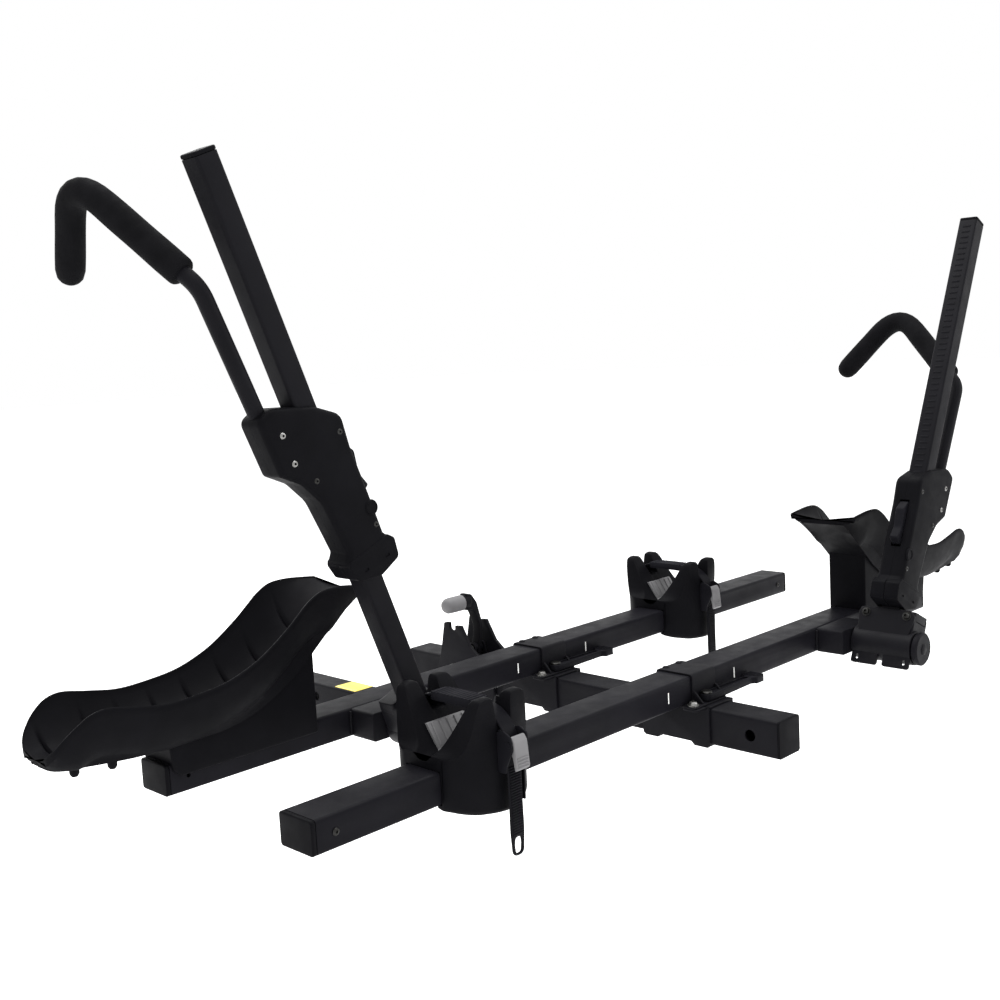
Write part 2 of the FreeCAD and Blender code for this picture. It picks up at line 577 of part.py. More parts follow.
def buckle_base(tray):
    """Ratchet frame on the near wall, with two cheeks for the lever's pin."""
    floor = prism([(-73, 34), (-73, 84), (-77, 84), (-78, 34)], "X", -12, 12)
    walls = [prism([(-73, 36), (-73, 82), (-92, 78, 6), (-92, 58, 6), (-80, 36)], "X", x, x + 2.5)
             for x in (-14, 11.5)]
    base = floor.fuse(walls)
    anchor = prism([(-60, 50), (-64.5, 72), (-73, 72), (-73, 50)], "X", -9, 9)
    base = base.fuse(anchor).cut(prism([(-60, 50), (-66.4, 72), (-58, 80)], "X", -20, 20))
    base = base.cut(ribbon(STRAP_LINE, 4.0, -STRAP_W / 2 - 0.5, STRAP_W / 2 + 0.5))
    pin = cylinder(2.5, (-14, -88, 68), (14, -88, 68))
    base = base.fuse(pin)
    base.translate(V(tray["cradle"], tray["y"], BAR_Z))
    return base


def buckle_lever(tray):
    """Thumb lever on the buckle's pin."""
    tab = prism([(-85, 70, 2), (-92, 73, 3), (-95, 60), (-97, 40, 3), (-92, 38, 2), (-89.5, 56), (-85, 62, 2)],
                "X", -10.5, 10.5)
    tab = tab.cut(cylinder(2.55, (-20, -88, 68), (20, -88, 68)))
    tab.translate(V(tray["cradle"], tray["y"], BAR_Z))
    return tab


# ---- build every node ----
save("hitch_shank", hitch_shank())
save("cheek_plate_left", cheek(-1))
save("cheek_plate_right", cheek(1))
save("tilt_bolt", tilt_bolt())
save("tilt_nut", tilt_nut())
save("label_plate", label_plate())
save("spine_tube", spine_tube())
save("spine_caps", spine_cap(SPINE_REAR, SPINE_REAR + 3), spine_cap(SPINE_FRONT - 3, SPINE_FRONT))
save("lever_axle", lever_axle())
save("lock_pin", lock_pin())
save("tilt_lever", tilt_lever())
save("lever_grip", lever_grip())

for t in TRAYS:
    name = t["name"] + "_"
    save(name + "saddle", saddle(t))
    save(name + "clamp_band", clamp_band(t))
    save(name + "clamp_studs", *clamp_studs(t))
    save(name + "clamp_lever", clamp_lever(t))
    save(name + "bar", bar(t))
    save(name + "bar_caps", *bar_caps(t))
    save(name + "tray_screws", cap_screw(t), *scoop_screws(t))
    save(name + "arm_stub", on_tray(arm_stub(), t))
    save(name + "scoop", scoop(t))
    save(name + "knuckle", knuckle(t))
    save(name + "knuckle_bolts", *knuckle_bolts(t))
    save(name + "mast", mast(t))
    save(name + "mast_cap", mast_cap(t))
    save(name + "housing_near", housing_shell(t, True))
    save(name + "housing_far", housing_shell(t, False))
    save(name + "housing_screws", *housing_screws(t))
    save(name + "release_trigger", release_trigger(t))
    save(name + "hook_rod", hook_rod(t))
    save(name + "hook_foam", hook_foam(t))
    save(name + "cradle", cradle(t))
    save(name + "strap", strap(t))
    save(name + "strap_pad", strap_pad(t))
    save(name + "buckle_base", buckle_base(t))
    save(name + "buckle_lever", buckle_lever(t))
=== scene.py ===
import math

import bmesh
import bpy
from mathutils import Matrix, Vector


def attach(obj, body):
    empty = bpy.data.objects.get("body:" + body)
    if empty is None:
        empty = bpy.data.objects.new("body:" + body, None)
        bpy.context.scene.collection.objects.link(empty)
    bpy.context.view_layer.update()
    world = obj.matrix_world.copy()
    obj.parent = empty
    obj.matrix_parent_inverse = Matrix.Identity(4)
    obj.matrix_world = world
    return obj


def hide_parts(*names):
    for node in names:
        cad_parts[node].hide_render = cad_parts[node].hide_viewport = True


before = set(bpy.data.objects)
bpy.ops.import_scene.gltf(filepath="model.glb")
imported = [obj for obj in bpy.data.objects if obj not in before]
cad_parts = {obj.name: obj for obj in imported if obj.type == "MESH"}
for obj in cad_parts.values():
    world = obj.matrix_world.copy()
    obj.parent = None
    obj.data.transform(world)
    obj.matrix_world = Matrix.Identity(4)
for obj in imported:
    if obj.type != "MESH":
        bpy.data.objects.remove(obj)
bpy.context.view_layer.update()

# ---- viewpoint, floor and light ----
# A rack held up by its shank over a plain pale studio floor, lit by broad soft panels so that the
# powder coat's upper faces read grey and its sides stay black.
MM = 0.001
scene = bpy.context.scene

lens = bpy.data.cameras.new("camera")
camera = bpy.data.objects.new("camera", lens)
scene.collection.objects.link(camera)
camera.location = Vector((-1375.8, -1849.6, 638.3)) * MM
yaw, pitch, roll = math.radians(44.713), math.radians(6.616), math.radians(-3.024)
ahead = Vector((math.cos(yaw) * math.cos(pitch), math.sin(yaw) * math.cos(pitch), -math.sin(pitch)))
level = Vector((math.sin(yaw), -math.cos(yaw), 0))
upright = level.cross(ahead)
across = level * math.cos(roll) + upright * math.sin(roll)
up = upright * math.cos(roll) - level * math.sin(roll)
camera.rotation_euler = Matrix((across, up, -ahead)).transposed().to_euler()
lens.sensor_width = 36
lens.lens = 44.52
lens.shift_y = -0.013
lens.clip_end = 60
scene.camera = camera


def soft_panel(name, place, aim, size, power):
    """A square area light aimed at a point."""
    lamp = bpy.data.lights.new(name, "AREA")
    lamp.size = size
    lamp.energy = power
    lamp_obj = bpy.data.objects.new(name, lamp)
    scene.collection.objects.link(lamp_obj)
    lamp_obj.location = place
    lamp_obj.rotation_euler = (Vector(aim) - Vector(place)).to_track_quat("-Z", "Y").to_euler()


middle = (0.0, -0.6, 0.3)
soft_panel("overhead", (0.2, -0.4, 3.6), middle, 4.0, 170)
soft_panel("left_window", (-3.4, -2.6, 1.9), middle, 2.4, 16)
soft_panel("right_window", (2.8, -3.4, 1.6), middle, 2.0, 38)
soft_panel("back_wall", (0.6, 3.4, 2.2), middle, 3.0, 60)

world = bpy.data.worlds.new("studio")
world.use_nodes = True
world.node_tree.nodes["Background"].inputs["Color"].default_value = (1, 1, 1, 1)
world.node_tree.nodes["Background"].inputs["Strength"].default_value = 1.0
scene.world = world
scene.view_settings.view_transform = "Standard"

floor_shade = bpy.data.materials.new("studio_floor")
floor_shade.use_nodes = True
for socket, value in (("Base Color", (0.97, 0.97, 0.97, 1)), ("Emission Color", (1, 1, 1, 1)),
                      ("Emission Strength", 0.25), ("Roughness", 0.9)):
    floor_shade.node_tree.nodes["Principled BSDF"].inputs[socket].default_value = value
floor_mesh = bpy.data.meshes.new("studio_floor")
reach, depth = 30, -0.42
corners = [(-reach, -reach, depth), (reach, -reach, depth), (reach, reach, depth), (-reach, reach, depth)]
floor_mesh.from_pydata(corners, [], [(0, 1, 2, 3)])
floor_mesh.materials.append(floor_shade)
floor = bpy.data.objects.new("studio_floor", floor_mesh)
scene.collection.objects.link(floor)

# ---- hitch shank and its cheek plates ----
# Two-inch square steel tube that slides into the vehicle's receiver, drilled for the hitch pin.
# Two thick cheek plates are welded to its sides and carry the tilt pivot; their horns are notched
# for the lock pin.  All of it has a fine textured black powder coat.
# HALF is half the width of the shank and of the spine, TILT the tilt pivot, PIN_HOLE and PIN_REACH
# the radius and half length of the cutters for cross holes, CHEEK_IN and CHEEK_OUT a cheek's faces.
HALF = 25.4
TILT = Vector((0, -392, 104.6))
PIN_HOLE, PIN_REACH = 8.1, 40
CHEEK_IN, CHEEK_OUT = HALF + 0.5, HALF + 6.5


class Shade:
    """A material under construction: short calls that add and join shader nodes."""

    def __init__(self, name, colour, roughness, **sockets):
        self.material = bpy.data.materials.new(name)
        self.material.use_nodes = True
        self.tree = self.material.node_tree
        self.body = self.tree.nodes["Principled BSDF"]
        self.body.inputs["Roughness"].default_value = roughness
        self.body.inputs["Base Color"].default_value = (*colour, 1)
        for socket, value in sockets.items():
            self.body.inputs[socket.replace("_", " ")].default_value = value
        self.place = self.tree.nodes.new("ShaderNodeTexCoord").outputs["Object"]
        self.height = None

    def add(self, kind, links, **settings):
        node = self.tree.nodes.new("ShaderNode" + kind)
        for key, value in settings.items():
            setattr(node, key, value)
        for socket, value in links.items():
            if isinstance(value, bpy.types.NodeSocket):
                self.tree.links.new(value, node.inputs[socket])
            else:
                node.inputs[socket].default_value = value
        return node

    def noise(self, size_mm, detail=3.0, rough=0.5, stretch=None):
        """Noise whose features are about size_mm across; stretch lengthens them along an axis."""
        where = self.place
        if stretch:
            where = self.add("Mapping", {"Vector": self.place, "Scale": stretch}).outputs["Vector"]
        node = self.add("TexNoise", {"Vector": where, "Scale": 1000.0 / size_mm, "Detail": detail,
                                     "Roughness": rough})
        return node.outputs["Fac"]

    def ramp(self, value, stops):
        node = self.add("ValToRGB", {"Fac": value})
        ramp = node.color_ramp
        while len(ramp.elements) < len(stops):
            ramp.elements.new(0.5)
        for element, (at, colour) in zip(ramp.elements, stops):
            element.position = at
            element.color = (*colour, 1) if isinstance(colour, tuple) else (colour, colour, colour, 1)
        return node.outputs["Color"]

    def blend(self, amount, first, second, how="MIX"):
        node = self.add("MixRGB", {"Fac": amount, "Color1": first, "Color2": second}, blend_type=how)
        return node.outputs["Color"]

    def bump(self, value, depth_mm, strength=1.0):
        links = {"Height": value, "Distance": depth_mm * MM, "Strength": strength}
        if self.height:
            links["Normal"] = self.height
        self.height = self.add("Bump", links).outputs["Normal"]

    def finish(self, colour=None, roughness=None):
        if colour is not None:
            self.tree.links.new(colour, self.body.inputs["Base Color"])
        if roughness is not None:
            self.tree.links.new(roughness, self.body.inputs["Roughness"])
        if self.height:
            self.tree.links.new(self.height, self.body.inputs["Normal"])
        return self.material


def powder_coat(name, tone, gloss, grain_mm, depth_mm, shine):
    """Black powder coat: orange-peel grain, slightly uneven sheen, fine dust in the texture."""
    s = Shade(name, (tone, tone, tone), gloss, Specular_IOR_Level=shine)
    grain = s.noise(grain_mm, 2.0)
    cloud = s.noise(60, 4.0)
    dust = s.noise(3.5, 6.0, 0.7)
    base = s.ramp(cloud, [(0.3, (tone * 0.82, tone * 0.80, tone * 1.04)),
                          (0.7, (tone * 1.15, tone * 1.11, tone * 1.46))])
    dusted = s.blend(s.ramp(dust, [(0.62, 0.0), (0.8, 0.35)]), base, (tone * 3.2, tone * 3.1, tone * 3.5, 1))
    rough = s.ramp(s.noise(25, 4.0), [(0.3, gloss - 0.06), (0.7, gloss + 0.08)])
    s.bump(grain, depth_mm, 0.8)
    return s.finish(dusted, rough)


textured_coat = powder_coat("textured_powder_coat", 0.0055, 0.50, 1.1, 0.16, 0.06)


def rounded(points, radius=0.0, steps=5):
    """Closed outline with each corner rounded; a point may carry its own radius as a third number."""
    out = []
    for i, p in enumerate(points):
        here = Vector(p[:2])
        back = Vector(points[i - 1][:2]) - here
        ahead = Vector(points[(i + 1) % len(points)][:2]) - here
        r = p[2] if len(p) > 2 else radius
        half = back.angle(ahead) / 2
        if r <= 0 or abs(half - math.pi / 2) < 0.02:
            out.append(tuple(here))
            continue
        reach = min(r / math.tan(half), 0.48 * back.length, 0.48 * ahead.length)
        start, end = here + back.normalized() * reach, here + ahead.normalized() * reach
        for k in range(steps + 1):
            t = k / steps
            out.append(tuple(start * (1 - t) ** 2 + here * 2 * t * (1 - t) + end * t * t))
    return out


def oblong(x0, y0, x1, y1, radius=0.0, steps=5):
    """Closed rectangle between two corners, its corners rounded."""
    return rounded([(x0, y0), (x1, y0), (x1, y1), (x0, y1)], radius, steps)


def ring(radius, centre=(0, 0), steps=28):
    """Closed circle as a run of points."""
    turn = 2 * math.pi / steps
    return [(centre[0] + radius * math.cos(k * turn), centre[1] + radius * math.sin(k * turn))
            for k in range(steps)]


def join(*parts):
    """One bmesh out of several."""
    whole = parts[0]
    for part in parts[1:]:
        mesh = bpy.data.meshes.new("part")
        part.to_mesh(mesh)
        part.free()
        whole.from_mesh(mesh)
        bpy.data.meshes.remove(mesh)
    return whole


LIE = {
    "X": Matrix(((0, 0, 1, 0), (1, 0, 0, 0), (0, 1, 0, 0), (0, 0, 0, 1))),
    "Y": Matrix(((1, 0, 0, 0), (0, 0, 1, 0), (0, 1, 0, 0), (0, 0, 0, 1))),
    "Z": Matrix.Identity(4),
}


def plate(outlines, low, high, along="Z", edge=0.8, steps=2):
    """Flat part cut to one outline with optional holes, between two heights, its edges rounded.
    along "X" reads outline points as (y, z), "Y" as (x, z), "Z" as (x, y)."""
    if not isinstance(outlines[0], list):
        outlines = [outlines]
    curve = bpy.data.curves.new("plate", "CURVE")
    curve.dimensions = "2D"
    curve.fill_mode = "BOTH"
    curve.extrude = (high - low) / 2 - edge
    curve.bevel_depth = edge
    curve.bevel_resolution = steps
    curve.offset = -edge
    for outline in outlines:
        spline = curve.splines.new("POLY")
        spline.points.add(len(outline) - 1)
        for point, at in zip(spline.points, outline):
            point.co = (at[0], at[1], 0, 1)
        spline.use_cyclic_u = True
    obj = bpy.data.objects.new("plate", curve)
    scene.collection.objects.link(obj)
    bpy.context.view_layer.update()
    mesh = bpy.data.meshes.new_from_object(obj.evaluated_get(bpy.context.evaluated_depsgraph_get()))
    bm = bmesh.new()
    bm.from_mesh(mesh)
    bpy.data.objects.remove(obj)
    bpy.data.curves.remove(curve)
    bpy.data.meshes.remove(mesh)
    bmesh.ops.translate(bm, verts=bm.verts, vec=(0, 0, (low + high) / 2))
    bmesh.ops.transform(bm, verts=bm.verts, matrix=LIE[along])
    bmesh.ops.remove_doubles(bm, verts=bm.verts, dist=0.004)
    return bm


def block(low, high, edge=0.8, steps=2):
    """Rounded rectangular block between two corners."""
    bm = bmesh.new()
    bmesh.ops.create_cube(bm, size=1)
    for v in bm.verts:
        v.co = [low[i] if v.co[i] < 0 else high[i] for i in range(3)]
    if edge:
        bmesh.ops.bevel(bm, geom=list(bm.edges), offset=edge, segments=steps, profile=0.5, affect="EDGES")
    return bm


def turned(profile, start, axis, steps=32):
    """Round part turned about an axis: profile lists (distance along the axis, radius)."""
    bm = bmesh.new()
    axis = Vector(axis).normalized()
    side = axis.orthogonal().normalized()
    other = axis.cross(side)
    loops = []
    for along, radius in profile:
        loop = []
        for k in range(steps):
            a = 2 * math.pi * k / steps
            spoke = side * math.cos(a) + other * math.sin(a)
            loop.append(bm.verts.new(Vector(start) + axis * along + spoke * radius))
        loops.append(loop)
    for a, b in zip(loops, loops[1:]):
        for k in range(steps):
            bm.faces.new((a[k], a[(k + 1) % steps], b[(k + 1) % steps], b[k]))
    bm.faces.new(loops[0][::-1])
    bm.faces.new(loops[-1])
    return bm


def carve(bm, *cutters):
    """Cut the cutters out of a closed mesh, one after another."""
    for cutter in cutters:
        objs = []
        for shape in (bm, cutter):
            bmesh.ops.recalc_face_normals(shape, faces=shape.faces)
            mesh = bpy.data.meshes.new("carve")
            shape.to_mesh(mesh)
            shape.free()
            obj = bpy.data.objects.new("carve", mesh)
            scene.collection.objects.link(obj)
            objs.append(obj)
        cut = objs[0].modifiers.new("cut", "BOOLEAN")
        cut.operation = "DIFFERENCE"
        cut.solver = "EXACT"
        cut.object = objs[1]
        bpy.context.view_layer.update()
        mesh = bpy.data.meshes.new_from_object(objs[0].evaluated_get(bpy.context.evaluated_depsgraph_get()))
        bm = bmesh.new()
        bm.from_mesh(mesh)
        for obj in objs:
            bpy.data.objects.remove(obj)
    return bm


def place(name, bm, finish, body, slot, stands_for=(), fit=None, sharp=32):
    """Turn a mesh drawn in millimetres into a finished piece that rides on a body."""
    bmesh.ops.transform(bm, verts=bm.verts, matrix=Matrix.Scale(MM, 4) @ (fit or Matrix.Identity(4)))
    bmesh.ops.remove_doubles(bm, verts=bm.verts, dist=0.000004)
    bmesh.ops.dissolve_degenerate(bm, dist=0.000002, edges=bm.edges)
    bmesh.ops.recalc_face_normals(bm, faces=bm.faces)
    mesh = bpy.data.meshes.new(name)
    bm.to_mesh(mesh)
    bm.free()
    mesh.shade_smooth()
    mesh.set_sharp_from_angle(angle=math.radians(sharp))
    mesh.materials.append(finish)
    obj = bpy.data.objects.new(name, mesh)
    scene.collection.objects.link(obj)
    if stands_for:
        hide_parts(*stands_for)
    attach(obj, body)
    return obj


def tube_outline(half_a, half_b, centre, wall, corner):
    """Outer and inner outline of a square tube's wall."""
    ca, cb = centre
    rings = []
    for inset, radius in ((0, corner), (wall, max(corner - wall, 1.0))):
        a, b = half_a - inset, half_b - inset
        rings.append(oblong(ca - a, cb - b, ca + a, cb + b, radius))
    return rings


def weld_bead(points, size):
    """Line of overlapped weld ripples along a polyline."""
    parts = []
    for a, b in zip(points, points[1:]):
        a, b = Vector(a), Vector(b)
        count = max(2, int((b - a).length / (size * 0.8)))
        profile = [(0, 0.2)]
        for k in range(count):
            step = (b - a).length / count
            profile += [(step * (k + 0.15), size * 0.80), (step * (k + 0.6), size),
                        (step * (k + 0.95), size * 0.78)]
        profile.append(((b - a).length, 0.2))
        parts.append(turned(profile, a, b - a, 10))
    return join(*parts)


shank = plate(tube_outline(HALF, HALF, (0, 0), 6, 5), -295, 78, "Y", 0.7)


def cross_hole(y, z):
    """Cutter for a round hole from side to side."""
    return turned([(-PIN_REACH, PIN_HOLE), (PIN_REACH, PIN_HOLE)], (0, y, z), (1, 0, 0), 36)


shank = carve(shank, cross_hole(0, 0))
for side in (-1, 1):
    x0, x1 = sorted((side * (HALF - 1), side * (HALF + 0.5)))
    shank = join(shank, block((x0, -293, -16), (x1, -180, 16), 0.2))
place("shank_tube", shank, textured_coat, "shank", "textured_steel", ["hitch_shank"])


def cheek_outline():
    """Rim of a cheek plate about the tilt pivot, with three open notches for the lock pin."""
    rim = [(19, 84, 3), (6.6, 85.5, 2.5), (6.6, 72.5, 6.4), (-6.6, 72.5, 6.4), (-6.6, 81, 1.5), (-20, 82, 3),
           (-39, 50, 10), (-53, 39, 16), (-88, 16, 9), (-88.6, 6.6, 1.5), (-72.5, 6.6, 6.4),
           (-72.5, -6.6, 6.4), (-88.6, -6.6, 1.5), (-88, -24, 6), (-83, -40.3, 1.5), (-66.1, -30.5, 6.4),
           (-59.5, -41.9, 6.4), (-75.5, -51.0, 1.5), (-73.5, -54, 4), (-20, -76, 20), (99, -125.6, 14),
           (210, -125.6, 6), (210, -88, 10), (112, -62, 18), (46, -12, 14), (30, 34, 12)]
    return [(y + TILT.y, z + TILT.z) for y, z in rounded(rim)]


for name, side in (("left", -1), ("right", 1)):
    x0, x1 = sorted((side * CHEEK_IN, side * CHEEK_OUT))
    hole = [(TILT.y + a, TILT.z + b) for a, b in ring(8.3)]
    cheek = plate([cheek_outline(), hole], x0, x1, "X", 0.9)
    weld = [(side * (HALF + 1.6), y, z) for y, z in ((-185, 17.5), (-230, 17.5))]
    cheek = join(cheek, weld_bead(weld, 2.6))
    place("cheek_" + name, cheek, textured_coat, "shank", "textured_steel", ["cheek_plate_" + name])

# ---- pivot bolt, nut, lock pin and lever axle ----
# Turned and cold-headed steel hardware, zinc plated.  The bolt is the tilt pivot; the lock pin
# crosses the spine in slots and drops into the cheeks' notches.


def plated(name, tone):
    """Bright zinc with fine turning marks and darker smudges."""
    s = Shade(name, (tone, tone, tone), 0.34, Metallic=1.0)
    smudge = s.noise(7, 5.0, 0.6)
    marks = s.noise(0.6, 2.0, 0.5, stretch=(0.08, 1, 1))
    low, high = (tone * 0.62, tone * 0.60, tone * 0.56), (tone * 1.1, tone * 1.1, tone * 1.08)
    s.bump(marks, 0.03, 0.5)
    return s.finish(s.ramp(smudge, [(0.3, low), (0.65, high)]), s.ramp(smudge, [(0.3, 0.5), (0.7, 0.28)]))


zinc = plated("zinc_plate", 0.26)
black_zinc = plated("black_zinc_plate", 0.035)


def hex_head(start, axis, across_corners, height):
    """Hexagon head or nut with eased edges."""
    head = turned([(0, across_corners / 2), (height, across_corners / 2)], start, axis, 6)
    bmesh.ops.bevel(head, geom=list(head.edges), offset=0.6, segments=2, profile=0.5, affect="EDGES")
    return head


def bolt_tip(start, axis, radius, length, pitch=1.5):
    """End of a threaded shank with its crests."""
    profile = [(0, radius * 0.9)]
    turns = int(length / pitch)
    for k in range(turns):
        profile += [(pitch * (k + 0.1), radius * 0.86), (pitch * (k + 0.6), radius)]
    profile += [(length, radius * 0.82)]
    return turned(profile, start, axis, 24)


head = join(hex_head((-CHEEK_OUT, TILT.y, TILT.z), (-1, 0, 0), 27, 10),
            turned([(0, 17), (1.6, 17)], (-CHEEK_OUT - 0.1, TILT.y, TILT.z), (-1, 0, 0)),
            turned([(0, 8), (2 * CHEEK_OUT, 8)], (-CHEEK_OUT, TILT.y, TILT.z), (1, 0, 0)))
place("pivot_bolt", head, zinc, "shank", "plated_steel", ["tilt_bolt"])
nut = join(hex_head((CHEEK_OUT, TILT.y, TILT.z), (1, 0, 0), 27, 11),
           bolt_tip((CHEEK_OUT + 10, TILT.y, TILT.z), (1, 0, 0), 7.8, 4.5))
place("pivot_nut", nut, zinc, "shank", "plated_steel", ["tilt_nut"])

pin_y = TILT.y - 99.5
pin = turned([(0, 4.6), (1.4, 6), (72.4, 6), (73.8, 4.6)], (-36.9, pin_y, TILT.z), (1, 0, 0))
place("lock_pin_rod", pin, zinc, "lock_pin", "plated_steel", ["lock_pin"])

lever_y, lever_z = TILT.y - 14, TILT.z + HALF + 13
axle = turned([(0, 4.8), (0.8, 6.4), (2, 6.4), (2.1, 4), (27, 4), (27.1, 6.4), (28.2, 6.4), (29, 4.8)],
              (-7, lever_y, lever_z), (1, 0, 0))
place("lever_axle_pin", axle, zinc, "spine", "plated_steel", ["lever_axle"])

# ---- label ----
# Plain yellow film stuck on top of the shank, with a slightly lifted rounded edge.


def film():
    s = Shade("yellow_film", (0.80, 0.62, 0.03), 0.34, Coat_Weight=0.4, Coat_Roughness=0.2)
    grime = s.noise(12, 5.0, 0.6)
    s.bump(s.noise(5, 3.0), 0.08, 0.4)
    return s.finish(s.ramp(grime, [(0.3, (0.66, 0.50, 0.03)), (0.6, (0.84, 0.66, 0.04))]))


label = plate(oblong(-21, -112, 21, -52, 3), HALF + 0.02, HALF + 0.6, "Z", 0.15, 1)
place("shank_label", label, film(), "shank", "label", ["label_plate"])

# ---- spine ----
# Square steel tube that carries both trays.  It tilts on the pivot bolt, is slotted for the lock
# pin and drilled at its rear end; two ears for the tilt lever are welded on top, and each end is
# closed by a pressed-in moulded cap.
SPINE_REAR, SPINE_FRONT = -999, -275
spine = plate(tube_outline(HALF, HALF, (0, TILT.z), 3.5, 5), SPINE_REAR + 3, SPINE_FRONT - 3, "Y", 0.5)
slot_shape = oblong(pin_y - 6.4, TILT.z - 6.4, pin_y + 26.9, TILT.z + 6.4, 6.3, 6)
spine = carve(spine, cross_hole(SPINE_REAR + 45, TILT.z), cross_hole(TILT.y, TILT.z),
              plate(slot_shape, -PIN_REACH, PIN_REACH, "X", 0.05, 1))
for x in (-5, 17):
    ear = rounded([(lever_y - 13, TILT.z + 24), (lever_y + 13, TILT.z + 24), (lever_y + 8, TILT.z + 47.4, 7),
                   (lever_y - 8, TILT.z + 47.4, 7)])
    spine = join(spine, plate(ear, x, x + 3, "X", 0.5))
place("spine_tube", spine, textured_coat, "spine", "textured_steel", ["spine_tube"])


def moulded(name, tone, gloss, grain_mm=0.9, depth_mm=0.07):
    """Moulded nylon: spark-eroded grain, faint flow clouds and a little polish; the blacks lean to blue."""
    black = tone < 0.1
    tint = 1.25 if black else 1.02
    s = Shade(name, (tone, tone, tone * tint), gloss, Specular_IOR_Level=0.03 if black else 0.35)
    colour = s.ramp(s.noise(45, 4.0), [(0.3, (tone * 0.85, tone * 0.84, tone * 0.85 * tint)),
                                       (0.7, (tone * 1.18, tone * 1.16, tone * 1.18 * tint))])
    s.bump(s.noise(grain_mm, 3.0), depth_mm, 0.7)
    return s.finish(colour, s.ramp(s.noise(18, 4.0), [(0.3, gloss - 0.05), (0.7, gloss + 0.07)]))


nylon = moulded("black_nylon", 0.0038, 0.50)
caps = []
for inner, outer in ((SPINE_REAR + 3, SPINE_REAR), (SPINE_FRONT - 3, SPINE_FRONT)):
    y0, y1 = sorted((inner, outer))
    caps.append(plate(oblong(-HALF, TILT.z - HALF, HALF, TILT.z + HALF, 5), y0, y1, "Y", 1.3, 3))
place("spine_end_caps", join(*caps), nylon, "spine", "moulded_plastic", ["spine_caps"])

# ---- tilt lever ----
# Bent steel strap on the axle between the ears, cranked to the left, with a grey moulded grip
# pushed over its end.
foot = TILT.z + HALF
strap_line = [(3, foot + 4, 2), (9.5, foot + 4, 2), (17.5, foot + 50, 40), (6, foot + 90, 14),
              (-6, foot + 106, 10), (-16, foot + 106.5), (-16, foot + 80), (-3, foot + 80, 8),
              (11.5, foot + 48, 40)]
lever = plate(rounded(strap_line, 0, 8), lever_y - 8.5, lever_y + 8.5, "Y", 1.4, 3)
lever = join(lever, turned([(0, 6.5), (0.8, 7.5), (16.8, 7.5), (17.6, 6.5)], (-1.2, lever_y, lever_z),
                           (1, 0, 0)),
             turned([(0, 9.5), (3, 12.2), (15, 12.6)], (-6, lever_y, foot + 93), (-1, 0, 0), 40))
place("tilt_lever_strap", lever, textured_coat, "tilt_lever", "textured_steel", ["tilt_lever"])
grey_nylon = moulded("grey_nylon", 0.13, 0.5)
grip = turned([(0, 12.0), (0.8, 12.8), (26, 12.8), (32, 12.2), (36, 10.0), (38, 6.8), (38.9, 3.0),
               (39.1, 0.4)],
              (-20.9, lever_y, foot + 93), (-1, 0, 0), 40)
place("tilt_lever_grip", grip, grey_nylon, "tilt_lever", "grey_plastic", ["lever_grip"])

# ---- saddles, clamp bands and clamp levers ----
# Each tray bar crosses the spine on a folded steel saddle.  A band over the bar is drawn down by a
# cam lever in front and held by bolts behind; slackening it lets the whole tray slide sideways.
# BAR_Z is the bars' underside.  Of each tray, y is the bar's middle, side the end on which the arm
# stands, lean the arm's angle from upright, hook the hook's height from where it is drawn, cradle
# the cradle's place along the bar, and mast the mast's top above the arm's shaft.
BAR_Z, BAR_W, BAR_H = 133.4, 56, 38
TRAYS = (
    dict(name="outer", y=-834, side=1, lean=26, hook=-175, cradle=-434, mast=718),
    dict(name="inner", y=-555, side=-1, lean=21, hook=0, cradle=345, mast=758),
)
satin_lever = moulded("clamp_lever_black", 0.007, 0.38)


def dome(centre, axis, radius, height, recess=0.0):
    """Pan head of a screw, with a hexagon socket when recess is its size."""
    head = turned([(0, radius), (height * 0.45, radius), (height * 0.85, radius * 0.82),
                   (height, radius * 0.55)],
                  centre, axis, 28)
    if recess:
        top = Vector(centre) + Vector(axis).normalized() * (height * 0.35)
        head = carve(head, turned([(0, recess), (height, recess)], top, axis, 6))
    return head


